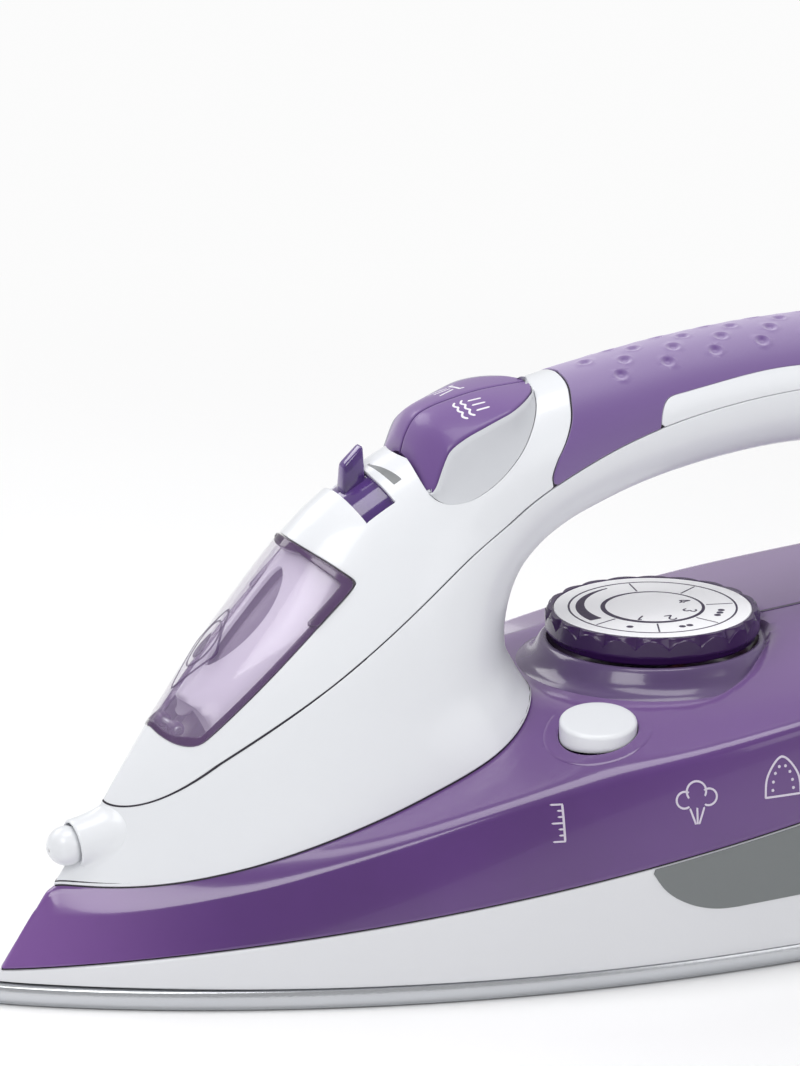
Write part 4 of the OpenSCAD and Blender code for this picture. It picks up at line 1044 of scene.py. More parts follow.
def tank_width(k):
    """Half width at a share k of the way from joint to crease."""
    return BODY_W + 1.1 * k - 3.4 * k * k


def wall_row(k, inset=0.0):
    start = 5.5 + 8.5 * k
    t = start + (END_T - start) * ROW_U
    z = (1 - k) * z_joint(t) + k * z_crease(t) + 0.12 * (1 - k)
    return side_row(t, z, tank_width(k), inset)


def deck_row(share):
    """A line along the deck at a share of its half width."""
    t = DECK_START + (END_T - DECK_START) * ROW_U
    y = share * w_crease(t)
    return np.stack([t, y, z_deck(t, y)], -1)


def build_tank():
    rows = [wall_row(0.0, 1.6), wall_row(0.0, 0.25), wall_row(0.02)]
    rows += [wall_row(k) for k in np.linspace(0.05, 0.88, 16)]
    # rounded edge from the wall onto the deck
    width = np.maximum(0.3, w_crease(DECK_START + (END_T - DECK_START) * ROW_U))
    lip = np.clip(1 - 3.4 / width, 0.2, 1)
    below, corner, onto = wall_row(0.905), 0.5 * (wall_row(1.0) + deck_row(1.0)), deck_row(lip)
    rows += [bezier(below, corner, onto, q) for q in np.linspace(0, 1, 9)]
    rows += [deck_row(lip * (1 - q)) for q in np.linspace(0.02, 1, 56)]
    points = np.array([row * MIRROR for row in rows] + rows[::-1][1:])
    points = np.transpose(points, (1, 0, 2))
    # the well the self-clean button sinks into
    reach = np.hypot((points[..., 0] - CLEAN_T) / CLEAN_A, (points[..., 1] - CLEAN_Y) / CLEAN_B)
    points[..., 2] -= np.maximum(0, points[..., 2] - 48.0) * (1 - smooth(1.06, 1.12, reach))
    # two rows turn the back edge in
    edge = points[-1].copy()
    edge[:, 1] *= 0.985
    edge[:, 0] += 0.25
    tucked = edge.copy()
    tucked[:, 1] *= 0.9
    tucked[:, 2] = 20 + (tucked[:, 2] - 20) * 0.93
    return sheet("tank_skin", [*points, edge, tucked], "tank", replaces="tank_shell", sharp=50)


# ---------------------------------------------------------------- heat skirt and side panels
def skirt_row(k, inset=0.0, raised=0.0):
    start = 2.77 + k * 1.9
    t = start + (END_T - start) * ROW_U
    z = (1 - k) * SKIRT_Z + k * (z_joint(t) - 0.3) + raised
    row = side_row(t, z, BODY_W - 0.9 + 0.9 * k + 0.25 * math.sin(math.pi * k), inset)
    row[:, 0] += inset * 1.4 * (1 - ROW_U)
    return row


def build_skirt():
    # share of the height, inset, raise
    levels = [(0, 2.2, 0.9), (0, 2.0, 0.1), (0, 0.9, 0.0), (0, 0.3, 0.15), (0, 0.05, 0.5)]
    levels += [(k, 0.0, 0.0) for k in np.linspace(0.08, 0.96, 12)]
    levels += [(1, 0.1, -0.1), (1, 0.4, 0.0), (1, 1.6, 0.0), (1, 2.2, -0.6)]
    ring = both_sides([skirt_row(*level) for level in levels])
    sheet("skirt_skin", np.concatenate([ring, ring[:1]], 0), "skirt", replaces="heat_skirt",
          sharp=45)


# lower edge of the grey side panels: t, z
SIDE_PANEL = [[147.4, 29], [150.8, 24.1], [155.4, 20.7], [160.7, 18.6], [166, 17.8], [174, 18],
              [185, 18.4], [246, 19.4]]


def skirt_y(t, z):
    joint = z_joint(t) - 0.25
    k = (z - SKIRT_Z) / (joint - SKIRT_Z)
    return ((1 - k) * plan(t, nose_t(SKIRT_Z), BODY_W - 0.9)
            + k * plan(t, nose_t(joint), BODY_W))


def build_side_panels():
    t = np.linspace(147.8, 245.6, 120)
    low = np.stack([t, hermite(SIDE_PANEL, t)], -1)
    t = t[::-1]
    top = np.stack([t, np.maximum(hermite(SIDE_PANEL, t) + 0.3, z_joint(t) - 0.75)], -1)
    outline = dedupe(np.vstack([low, top]), 0.05)
    inner = np.array([180.0, 0, 15])
    for side, label in SIDES:
        def fn(t, z, side=side):
            return np.stack([t, side * (skirt_y(t, z) + 0.45), z], -1)

        def surface(uv, fn=fn):
            t, z = uv[:, 0], uv[:, 1]
            return fn(t, z), normals(fn, t, z, 0.3, 0.3, inner)

        panel("side_panel_" + label, surface, outline, material="grey",
              replaces="accent_panels" if side < 0 else None, step=2.2, edge_step=1.1,
              thick=0.7, roll=0.22)


# ---------------------------------------------------------------- dial, disc and collar
def dial_profile(i):
    """Knob section at step i; the scallops repeat every 24 steps."""
    foot = [(6.5, DIAL_Z + 3.0), (22.6, DIAL_Z + 3.0), (23.0, DIAL_Z + 0.6)]
    foot += arc(24.4, DIAL_Z + 0.7, 0.7, -90, 0, 3)
    foot += [(25.4, DIAL_Z + 1.4), (25.9, DIAL_Z + 2.0)]
    off = abs((i % 24) / 24 - 0.5) / 0.5
    break_z = 6.15 - 2.3 * off ** 2.1       # height where the scallop starts
    top_r = 25.75 - 0.42 * (6.35 - break_z)
    wall = [(26.0, DIAL_Z + 2.2 + (break_z - 2.2) * j / 8) for j in range(9)]
    wall.append((25.8, DIAL_Z + break_z + 0.12))
    scallop = [(25.75 + (top_r - 25.75) * j / 5,
                DIAL_Z + break_z + 0.15 + (6.35 - break_z - 0.15) * j / 5)
               for j in range(1, 6)]
    top = [(top_r - 0.08, 6.64), (top_r - 0.3, 6.86), (24.15, 6.86), (24.05, 6.75),
           (24.0, 6.4), (24.0, 5.55), (6.5, 5.5)]
    return foot + wall + scallop + [(r, DIAL_Z + z) for r, z in top]


# radius, height
COLLAR = [(28.6, 60.7), (33.2, 60.75), (32.9, 61.1), (31.6, 61.55), (30.3, 62.3), (29.3, 63.3),
          (28.5, 64.5), (27.8, 65.8), (27.2, 66.6), (26.75, 66.95), (26.2, 67.0), (25.7, 66.8),
          (25.6, 66.2), (26.6, 64.4), (27.8, 62.6)]


def build_dial():
    axis = np.array([DIAL_T, 0, 0.0])
    turned("dial_knob", dial_profile, axis, UPRIGHT, 480, "dark", closed=True, sharp=32,
           rides="dial", replaces="temperature_dial")
    face = [(0.0, DIAL_Z + 6.75), (8, DIAL_Z + 6.78), (16, DIAL_Z + 6.8), (23.5, DIAL_Z + 6.8)]
    face += arc(23.65, DIAL_Z + 6.5, 0.3, 90, 0, 3)
    face += [(23.95, DIAL_Z + 5.7), (0.0, DIAL_Z + 5.7)]
    turned("dial_face", face, axis, UPRIGHT, 120, "disc", rides="dial", replaces="dial_disc")
    turned("dial_pedestal", COLLAR, axis, UPRIGHT, 128, "collar", closed=True,
           replaces="dial_collar")


# strokes of the dial's numerals: x, y about their middle
NUMERALS = [
    [(-0.7, 1.0), (0, 1.6), (0, -1.6)],
    [(-0.9, 0.9), (-0.5, 1.5), (0.2, 1.65), (0.85, 1.2), (0.8, 0.45), (0.1, -0.5),
     (-0.9, -1.6), (0.95, -1.6)],
    [(-0.85, 1.2), (-0.1, 1.65), (0.75, 1.25), (0.75, 0.5), (0.0, 0.1), (0.85, -0.4),
     (0.85, -1.2), (0.0, -1.65), (-0.9, -1.2)],
    [(0.5, -1.6), (0.5, 1.6), (-0.95, -0.7), (1.05, -0.7)],
]


def polar(radius, degrees):
    return np.array([radius * math.cos(math.radians(degrees)),
                     radius * math.sin(math.radians(degrees))])


def facing_out(points, radius, degrees):
    """Move a drawing out from the dial's centre, its top turned outwards."""
    centre = polar(radius, degrees)
    up = centre / np.linalg.norm(centre)
    right = np.array([up[1], -up[0]])
    return np.array([centre + (x * right + y * up) for x, y in points])


def build_dial_marks():
    marks = [("ring_out", oval(0, 0, 20.5, 160), [oval(0, 0, 20.05, 160)]),
             ("ring_in", oval(0, 0, 12.6, 110), [oval(0.35, 0.25, 11.7, 110)])]
    for i, angle in enumerate([200, 248, 296, 344, 32, 80]):
        marks.append(("div%d" % i, stroke([polar(13.2, angle), polar(19.6, angle)], 0.35), []))
    number_angles = [224, 272, 320, 8]
    for i, angle in enumerate(number_angles[:3]):
        for k in range(i + 1):
            centre = polar(16.6, angle + (k - i / 2) * 7)
            marks.append(("dot%d%d" % (i, k), oval(*centre, 0.85), []))
    for i, (angle, numeral) in enumerate(zip(number_angles, NUMERALS)):
        marks.append(("num%d" % i, stroke(facing_out(numeral, 9.2, angle), 0.42), []))
    f = np.radians(np.linspace(100, 190, 40))
    back = f[::-1]
    inner_r = 18.2 - 3.0 * (back - f[0]) / (f[-1] - f[0])
    wedge = np.vstack([np.stack([18.6 * np.cos(f), 18.6 * np.sin(f)], -1),
                       np.stack([inner_r * np.cos(back), inner_r * np.sin(back)], -1)])
    marks.append(("wedge", wedge, []))
    for label, outline, holes in marks:
        printed("dial_mark_" + label, outline, lambda x, y, z: np.array([DIAL_T + x, y, z]),
                DIAL_Z + 6.79, 0.05, "ink", holes=holes, slot="disc", rides="dial")


# ---------------------------------------------------------------- filler lid
IN_LID = {"slot": "lid", "rides": "filler_door"}


def build_lid():
    outer = resample(dedupe(offset_loop(LID_HOLE, -0.2)), 0.8, True)
    inner = offset_loop(LID_HOLE, -1.0)
    u0, u1 = inner[:, 0].min(), inner[:, 0].max()
    inner[:, 0] = np.clip(inner[:, 0], u0 + 1.2, u1 - 1.0)
    inner = resample(dedupe(inner, 0.05), 0.8, True)
    rim = panel("lid_rim", shell(0.35), outer, [inner], material="lid_rim", step=1.4,
                edge_step=0.7, thick=2.1, roll=0.35, roll_steps=4, replaces="filler_door",
                **IN_LID)
    pane = panel("lid_pane", shell(0.28), offset_loop(inner, 0.12), material="lid", step=1.6,
                 edge_step=0.8, thick=1.5, roll=0.05, roll_steps=2, replaces="filler_door",
                 **IN_LID)
    # thicker flanges along the upper third of the lid's sides
    for side, label in SIDES:
        line = to_uv(*to_sa(offset_loop(LID_HOLE, -0.25)))
        line = line[line[:, 1] * side > 0]
        line = line[np.argsort(line[:, 0])]
        line = line[(line[:, 0] > u0 + (u1 - u0) * 0.62) & (line[:, 0] < u1 - 0.2)]
        line = resample(line, 0.8)
        inside_line = line - np.array([0, side * 1.6])
        panel("lid_flange_" + label, shell(0.95 if side < 0 else 0.6),
              dedupe(np.vstack([line, inside_line[::-1]]), 0.05), material="lid_rim", step=1.4,
              edge_step=0.7, thick=0.9, roll_steps=4, **IN_LID)
    across = (XDIR, ZDIR, YDIR)
    knuckle = [(1.1, -1.3), (1.6, -1.3), (1.8, -1.1), (1.8, 1.1), (1.6, 1.3), (1.1, 1.3)]
    for side, label in SIDES:
        turned("lid_knuckle_" + label, knuckle, HINGE + side * 4.0 * YDIR, across, 32,
               "lid_rim", closed=True, **IN_LID)
    pin = [(0.0, -5.9), (0.8, -5.9), (1.0, -5.7), (1.0, 5.7), (0.8, 5.9), (0.0, 5.9)]
    turned("lid_pin", pin, HINGE, across, 24, "steel", rides="filler_door",
           replaces="door_pin")
    return rim, pane


def thin_at_hinge(obj, least, full):
    """Thin a skin from behind round the pin, so the lid's lower end can swing past the shell."""
    centre_t, centre_z = 48.3, 62.4
    near, far = 7.0, 11.0
    points = np.array([v.co[:] for v in obj.data.vertices]) * 1000
    points = points + np.array([ORIGIN_T, 0, 0])
    reach = np.hypot(points[:, 0] - centre_t, points[:, 2] - centre_z)
    chosen = np.where((reach < far) & (np.abs(points[:, 1]) < 13) & (points[:, 0] < 58))[0]
    skin, normal = HANDLE(nearest_uv(points[chosen]))
    depth = ((skin - points[chosen]) * normal).sum(1)
    limit = least + (full - least) * smooth(near, far, reach[chosen])
    for i, move, n in zip(chosen, np.maximum(0, depth - limit), normal):
        if move > 0:
            v = obj.data.vertices[int(i)]
            v.co = Vector(tuple(np.array(v.co[:]) + n * move / 1000))


# ---------------------------------------------------------------- basin under the lid
MOUTH_U, MOUTH_V = to_uv(3.75, 0.0)
MOUTH_A, MOUTH_B = 14.5, 8.2        # half axes of the basin's mouth
POCKET_R = 6.4                      # clearance round the hinge pin


def basin_surface(grow, dish):
    def fn(s, a):
        uv = to_uv(s, a)
        reach = np.hypot((uv[..., 0] - MOUTH_U) / MOUTH_A, uv[..., 1] / MOUTH_B)
        p = body(s, a, grow)
        n = p - handle_centre(s)
        n /= np.linalg.norm(n, axis=-1)[..., None]
        p = p - n * (dish * (1 - smooth(0.9, 1.7, reach)))[..., None]
        # push points inside the pin's clearance inwards until they leave it
        q = p - HINGE
        q[..., 1] = 0
        m = n * np.array([1, 0, 1])
        mm, qm = (m * m).sum(-1), (q * m).sum(-1)
        disc = qm ** 2 + mm * (POCKET_R ** 2 - (q * q).sum(-1))
        push = (qm + np.sqrt(np.maximum(0, disc))) / np.maximum(0.05, mm)
        push = np.where((disc > 0) & (push > 0), push, 0)
        return p - n * np.minimum(push, 12.0)[..., None]
    return on_handle(fn)


def build_basin():
    mouth = oval(MOUTH_U, MOUTH_V, MOUTH_A, 60, MOUTH_B)
    panel("filler_basin", basin_surface(-3.4, 1.6), offset_loop(LID_HOLE, 0.1), [mouth],
          material="basin", slot="white", step=1.7, edge_step=0.8, thick=1.0, roll=0.4)
    panel("filler_basin_floor", basin_surface(-8.5, 0.0), mouth, material="basin_deep",
          slot="white", thick=0.8, roll=0.1, roll_steps=2)


def build_lid_emboss():
    # the embossed rhombus, ring and drop are flat darker marks: painted shade in place of the
    # relief
    u = to_uv(3.35, 0.0)[0]
    rhombus = round_corners([[u - 13, 0], [u, -6.6], [u + 13, 0], [u, 6.6]], 2.2)
    handle_mark("lid_rhombus", rhombus, 0.46, "emboss", [offset_loop(rhombus, -0.45)], **IN_LID)
    ring = oval(u + 1.5, 0, 6.4, 48, 4.1)
    handle_mark("lid_ring", ring, 0.46, "emboss", [offset_loop(ring, -0.4)], **IN_LID)
    drop = [[u + 4.4, 0], [u + 1.5, 1.5], [u - 0.8, 1.9], [u - 2.2, 0.9], [u - 2.4, 0],
            [u - 2.2, -0.9], [u - 0.8, -1.9], [u + 1.5, -1.5]]
    handle_mark("lid_drop", spline(drop, 6, True), 0.44, "emboss", **IN_LID)


# ---------------------------------------------------------------- spray and steam keys
# along the keys: t, height of the ridge; t, height of the rim; t, share of the half width
KEY_RIDGE = [[108.4, 121.4], [109.5, 125.2], [111.9, 129.3], [115.5, 131.4], [122.6, 133.2],
             [129.5, 134.3], [141, 134.9]]
KEY_RIM = [[108.4, 114.6], [110, 115.4], [111, 117.4], [112.7, 121.9], [114.2, 124.8],
           [118, 127.4], [122.6, 129.4], [129.6, 132.1], [134.8, 133.6], [141, 134.8]]
KEY_SHARE = [[108.4, 0.62], [109.2, 0.9], [110.4, 0.99], [111.6, 1], [129, 1], [132, 0.93],
             [134.8, 0.8], [137, 0.66], [139.4, 0.46], [141, 0.2]]
KEY_HALF_W = 15.0


def key_y(t):
    return KEY_HALF_W * hermite(KEY_SHARE, t)


def key_z(t, y):
    k = np.minimum(1, np.abs(y) / key_y(t))
    rim = hermite(KEY_RIM, t)
    return rim + (hermite(KEY_RIDGE, t) - rim) * (1 - k ** 2.2)


def key_rows(side):
    """Sections of one cap, from the middle gap out to the rim."""
    t = np.linspace(108.4, 141.0, 240)
    rim_curve = np.stack([t, key_y(t), hermite(KEY_RIM, t)], -1)
    gap = 0.22
    rows = []
    for t in spaced(rim_curve, 110)[:, 0]:
        width = float(key_y(t)) - 0.15
        mid_z = float(key_z(t, gap))
        section = [(gap, mid_z - 2.0), (gap, mid_z - 0.5), (gap + 0.12, mid_z - 0.15)]
        span = width - gap - 0.42
        for q in [0, *np.linspace(0.06, 0.93, 22)]:
            y = gap + 0.42 + span * q
            section.append((y, float(key_z(t, y))))
        last_y, last_z = section[-1]
        rim_z = float(key_z(t, width))
        section += [(width - 0.35 * (width - last_y), 0.35 * last_z + 0.65 * rim_z - 0.05),
                    (width - 0.06, rim_z - 0.35), (width, rim_z - 0.8),
                    (width - 0.02, rim_z - 2.2)]
        rows.append([(t, side * y, z) for y, z in section])
    rows = np.array(rows)
    # tuck the two ends in
    front = rows[0] + np.array([0.9, 0, -1.4])
    back = rows[-1] + np.array([-0.6, 0, -1.6])
    back[:, 1] *= 0.9
    return np.concatenate([[front], rows, [back]], 0)


def on_key(t, y):
    """Map for an icon centred at (t, y), its top towards the nose."""
    def place(x, up, z):
        return np.array([t - up, y + x, float(key_z(t - up, y + x)) + z])
    return place


def icon_wave(y0):
    half, amplitude, humps = 3.6, 0.75, 3
    x = np.linspace(-half, half, 60)
    return np.stack([x, y0 + amplitude * np.abs(np.sin((x + half) / (2 * half)
                                                       * math.pi * humps))], -1)


def build_keys():
    sheet("steam_cap", key_rows(-1), "button", rides="burst_key",
          replaces="steam_burst_button", sharp=48)
    sheet("spray_cap", key_rows(1), "button", rides="spray_key", replaces="spray_button",
          sharp=48)
    steam = [icon_wave(-0.2), icon_wave(1.7)]
    steam += [[(x, -1.4), (x - 0.5, -4.2)] for x in (-2.4, 0, 2.4)]
    spray = [[(-3.0, -2.6), (3.0, -2.6)], [(-3.0, -2.6), (-3.0, -3.6)],
             [(3.0, -2.6), (3.0, -3.6)]]
    spray += [[(0.75 * x, -1.3), (1.35 * x, 2.6)] for x in (-2.4, 0, 2.4)]
    for label, lines, place, key in (("steam", steam, on_key(122.6, -7.2), "burst_key"),
                                     ("spray", spray, on_key(123.4, 7.2), "spray_key")):
        for k, line in enumerate(lines):
            printed("%s_icon_%d" % (label, k), stroke(line, 0.5), place, 0.0, 0.06,
                    "print_white", edge_step=0.4, slot="button", rides=key)


def build_key_housing():
    """Flanks from the caps' rims down to the shell, and a dark tray of painted shade under the
    caps.
    """
    count = 150
    foot = body(*to_sa(near_uv(spline(KEY_HOUSING, 10))))
    first = int(np.argmin(np.hypot(foot[:, 0] - 108.8, foot[:, 2] - 115.6)))
    foot = spaced(resample(foot[first:], 0.5), count)
    t = np.linspace(109.0, 141.0, 260)
    rim = np.stack([t, -(key_y(t) + 0.3), hermite(KEY_RIM, t) - 0.1], -1)
    rim = spaced(resample(rim, 0.5), count)
    down = foot - rim
    length = np.maximum(1e-6, np.linalg.norm(down, axis=1))[:, None]
    down = down / length
    out = np.cross(np.gradient(rim, axis=0), down)
    out /= np.maximum(1e-6, np.linalg.norm(out, axis=1))[:, None]
    out *= np.where(out[:, 1:2] > 0, -1, 1)
    bead = np.minimum(1.9, 0.35 * length)       # width of the raised bead along the rim
    rows = [rim - out * 0.1 + np.array([0, 0.0, -2.0]), rim + np.array([0, 0.05, -0.45])]
    for q in np.linspace(0, 1, 7):
        swell = math.sin(math.pi * min(1, q * 0.55 + 0.12))
        rows.append(rim + down * bead * q + out * 0.42 * swell)
    for q in np.linspace(0.06, 1, 14):
        hollow = 0.35 * math.sin(math.pi * q) * np.minimum(1, length / 9)
        rows.append(rim + down * (bead + (length - bead) * q)
                    + out * (0.42 * (1 - q) * 0.9 - hollow))
    rows.append(foot - out * 1.2)
    for side, label in SIDES:
        flank = sheet("button_flank_" + label, np.array(rows) * np.array([1, -side, 1]),
                      "bezel", replaces="pump_bezel" if side < 0 else None)
        flank.data.materials.append(mats["white"])
    # the dark tray is painted shade, seen through the gaps round and between the caps
    tray = []
    for t in np.linspace(108.6, 140.4, 60):
        w = float(key_y(t)) - 0.4
        tray.append([(t, y, float(key_z(t, min(abs(y), w - 0.3))) - 11.5)
                     for y in np.linspace(-w, w, 21)])
    sheet("button_shade_tray", tray, "dark", slot="bezel")


# ---------------------------------------------------------------- steam lever
def lever_box(name, size, bevel, segments, shift, lean=0.0, shape=None):
    """A box in the lever's frame; lean slides x with height."""
    def place(x, y, z):
        x = x + lean * (z + 4.2) + shift[0]
        return LEVER_O + x * LEVER_X + (z + shift[1]) * LEVER_UP + y * YDIR
    bevel_box(name, size, bevel, segments, place, "lever", shape, slot="dark", rides="lever")


def tab_shape(c):
    """Narrow the tab's top and cut its upper front corner back."""
    front_top = c.z > 0 and c.x < 0
    return (c.x + (0.9 if front_top else 0), c.y * (0.86 if c.z > 0 else 1.15),
            c.z - (1.5 if front_top else 0))


def build_lever():
    drum_r, half = 15.3, 5.4
    profile = [(-half, drum_r - 1.4), (-half, drum_r - 0.35), (-5.05, drum_r)]
    profile += [(x, drum_r) for x in np.linspace(-4.6, 4.6, 7)]
    profile += [(5.05, drum_r), (half, drum_r - 0.35), (half, drum_r - 1.4)]
    rows = [[lever_point(x, a, r) for x, r in profile] for a in np.linspace(-64, 64, 90)]
    sheet("lever_drum", rows, "lever", slot="dark", rides="lever", replaces="steam_lever",
          close_row=True, sharp=40)
    lever_box("lever_tab", (6.8, 4.0, 8.4), 0.8, 3, (-0.6, 18.3), lean=0.5, shape=tab_shape)
    for side in (-1, 1):
        lever_box("lever_arm_%d" % (side + 1), (1.4, 5.0, 13.4), 0.3, 2, (side * 3.6, 7.2))
    half_axle = [(0.0, 8.4), (1.5, 8.4), (1.8, 8.1), (1.8, 5.2), (3.5, 5.2)]
    axle = [(r, -x) for r, x in half_axle] + half_axle[::-1]
    turned("lever_axle", axle, LEVER_O, (LEVER_UP, YDIR, LEVER_X), 36, "lever", slot="dark",
           rides="lever")
    # graded wedge printed behind the lever
    wedge = [lever_point(6.0 + 0.02 * abs(a), a, LEVER_MARK_R) for a in np.linspace(2, -36, 16)]
    wedge += [lever_point(9.0 - 2.6 * (1 - (abs(a) / 36)) ** 1.4, a, LEVER_MARK_R)
              for a in np.linspace(-36, 2, 16)]
    handle_mark("lever_scale", nearest_uv(wedge), 0.035, "scale", step=1.2, slot="white")


# ---------------------------------------------------------------- self-clean button
def clean_ring(a, b, height):
    """Oval of half axes a, b round the button; height is a function of (t, y)."""
    out = []
    for k in range(72):
        f = 2 * math.pi * k / 72
        t, y = CLEAN_T + a * math.cos(f), CLEAN_Y + b * math.sin(f)
        out.append((t, y, height(t, y)))
    return out


def build_self_clean():
    def top(raised):
        return lambda t, y: 61.25 + 0.19 * (y - CLEAN_Y) + 0.04 * (t - CLEAN_T) + raised

    rows = [clean_ring(8.9, 8.0, lambda t, y: 55.4), clean_ring(9.3, 8.4, lambda t, y: 56.0)]
    for q in np.linspace(0.1, 1, 6):
        rows.append(clean_ring(CLEAN_A, CLEAN_B,
                               lambda t, y: 56.3 * (1 - q) + q * top(-1.0)(t, y)))
    for f in np.radians(np.linspace(15, 90, 6)):
        inset = 1.0 - math.cos(f)
        rows.append(clean_ring(CLEAN_A - inset, CLEAN_B - inset, top(-1.0 + math.sin(f))))
    for q in (0.85, 0.6, 0.3, 0.01):
        rows.append(clean_ring(8.4 * q, 7.5 * q, top(0.12 * (1 - q * q))))
    sheet("self_clean_cap", rows, "white", rides="self_clean", replaces="self_clean_button",
          close_row=True, sharp=50)
    # half length, height over the deck
    recess = [(9.6, -9.0), (9.6, -4.0), (9.6, -0.35), (9.75, -0.05), (10.1, 0.07),
              (10.7, 0.07), (11.5, 0.06), (12.3, 0.05), (13.1, 0.035), (13.3, -0.25)]
    rows = [clean_ring(a, a - (CLEAN_A - CLEAN_B), lambda t, y: float(z_deck(t, y)) + over)
            for a, over in recess]
    sheet("self_clean_recess", rows, "tank", slot="dark", close_row=True, sharp=50)
    gland = [(2.2, 16.5), (4.0, 16.5), (4.0, 47.0), (5.4, 47.2), (5.4, 51.2), (2.2, 51.2)]
    turned("self_clean_gland", gland, np.array([140.5, CLEAN_Y, 0.0]), UPRIGHT, 40, "inner",
           closed=True, replaces="self_clean_seat")


# ---------------------------------------------------------------- spray nozzle and its hood
NOZZLE = np.array([24.6, 0, 36.3])
NOZZLE_TILT = math.radians(-98)
NOZZLE_AXIS = np.array([math.sin(NOZZLE_TILT), 0, math.cos(NOZZLE_TILT)])
NOZZLE_UP = np.array([math.cos(NOZZLE_TILT), 0, -math.sin(NOZZLE_TILT)])


def tree_of(objects):
    verts, faces = [], []
    for obj in objects:
        base = len(verts)
        verts += [v.co.copy() for v in obj.data.vertices]
        faces += [[base + i for i in face.vertices] for face in obj.data.polygons]
    return BVHTree.FromPolygons(verts, faces)


def build_nozzle(lower_shell, tank):
    profile = [(0.45, 5.8), (0.5, 6.75), (0.75, 6.98), (1.3, 6.99)]
    profile += [(4.72 * math.sin(math.radians(f)), 2.4 + 4.72 * math.cos(math.radians(f)))
                for f in range(20, 150, 6)]
    profile += [(2.6, -1.6), (2.6, -3.5)]
    turned("nozzle_ball", profile, NOZZLE, (NOZZLE_UP, YDIR, NOZZLE_AXIS), 64, "white",
           replaces="spray_nozzle")
    # the hood flares from a ring round the ball to where rays meet shell or tank
    tree = tree_of([lower_shell, tank])
    hood = []
    for k in range(96):
        f = 2 * math.pi * k / 96
        out = math.cos(f) * NOZZLE_UP + math.sin(f) * YDIR
        bend = shoot(tree, NOZZLE + out * 6.1 + NOZZLE_AXIS * 1.0, -NOZZLE_AXIS)
        end = None
        for flare in (1.5, 1.1, 0.8, 0.5, 0.3):
            end = shoot(tree, NOZZLE + out * (6.0 + flare) + NOZZLE_AXIS * 1.0, -NOZZLE_AXIS)
            if end is not None and bend is not None and np.linalg.norm(end - bend) < 4.5:
                break
            end = None
        start = NOZZLE + out * 5.75 + NOZZLE_AXIS * 0.2
        if bend is None:
            bend = start - NOZZLE_AXIS * 6
        if end is None:
            end = bend - NOZZLE_AXIS * 3 + out * 1.0
        # radius, height along the axis
        lip = [(4.95, -2.0), (5.0, 0.5), (5.12, 0.72), (5.35, 0.8), (5.6, 0.62)]
        row = [NOZZLE + out * r + NOZZLE_AXIS * h for r, h in lip]
        row += [bezier(start, bend * 0.93 + start * 0.07, end, q)
                for q in np.linspace(0, 1, 14)]
        row.append(row[-1] + (row[-1] - row[-2]) * 0.5 - out * 0.25 - NOZZLE_AXIS * 0.25)
        hood.append(row)
    hood = np.array(hood)
    for _ in range(2):
        beside = np.roll(hood, 1, 0)[:, 6:-1] + np.roll(hood, -1, 0)[:, 6:-1]
        hood[:, 6:-1] = 0.5 * hood[:, 6:-1] + 0.25 * beside
    sheet("nozzle_hood", hood, "white", join_rows=True)


# ---------------------------------------------------------------- heel
SWIVEL = np.array([253.5, 0, 131.0])
SWIVEL_TILT = math.radians(62)
SWIVEL_AXIS = np.array([math.cos(SWIVEL_TILT), 0, math.sin(SWIVEL_TILT)])
SWIVEL_X = np.array([math.sin(SWIVEL_TILT), 0, -math.cos(SWIVEL_TILT)])


def swivel_cut():
    """Outline where a tube round the swivel leaves the handle surface."""
    rows, columns = 131, 121
    points = handle_grid(np.linspace(11, 24, rows), np.linspace(-180, 180, columns))[2]
    faces = []
    for i in range(rows - 1):
        for j in range(columns - 1):
            this, after = i * columns + j, (i + 1) * columns + j
            faces.append([this, this + 1, after + 1, after])
    tree = BVHTree.FromPolygons([Vector(tuple(v)) for v in to_metres(points)], faces)
    cut = []
    for k in range(72):
        f = 2 * math.pi * k / 72
        start = SWIVEL + 12.6 * (math.cos(f) * SWIVEL_X + math.sin(f) * YDIR)
        hit = shoot(tree, start + SWIVEL_AXIS * 30, -SWIVEL_AXIS)
        if hit is not None:
            cut.append(hit)
    return nearest_uv(np.array(cut))


def build_heel():
    n = 160
    turn, run = np.linspace(-180, 180, n), np.linspace(HEEL_START, HEEL_END, n)
    outline = dedupe(np.vstack([
        to_uv(np.full(n, HEEL_START), turn),
        to_uv(run, np.full(n, 180)),
        to_uv(np.full(n, HEEL_END), np.linspace(180, -180, n)),
        to_uv(np.linspace(HEEL_END, HEEL_START, n), np.full(n, -180))]))
    panel("heel_skin", HANDLE, outline, [offset_loop(swivel_cut(), 0.0)], material="white",
          replaces="heel_housing", step=2.4, edge_step=1.2, wraps=True)
    # a thin moulded line on the heel's back, drawn as a flat grey mark: painted shade in place of
    # its relief
    top, bottom = to_uv(np.array([17.0, 22.6]), np.zeros(2))[:, 0]
    line = round_corners([[top, -15.5], [bottom, -22.0], [bottom, 22.0], [top, 15.5]], 6.0)
    handle_mark("heel_panel_line", line, 0.03, "scale", [offset_loop(line, -0.5)], step=2.0,
                slot="white")
    cup = [(12.55, 9.0), (12.55, -6.0), (8.2, -6.2), (8.2, -7.0), (13.2, -7.0), (13.2, 4.0)]
    turned("swivel_cup", cup, SWIVEL, (SWIVEL_X, YDIR, SWIVEL_AXIS), 64, "grey", closed=True)


# ---------------------------------------------------------------- soleplate
SOLE_END = 232.0
SOLE_TAIL = 36.0        # length of the rounded back end
VENT_R = 1.35


def sole_y(t):
    tail = SOLE_END - SOLE_TAIL
    width = plan(t, 0.0, SOLE_W)
    closing = np.sqrt(np.maximum(0, 1 - (np.maximum(0, t - tail) / SOLE_TAIL) ** 2.6))
    return np.where(t < tail, width, width * closing)


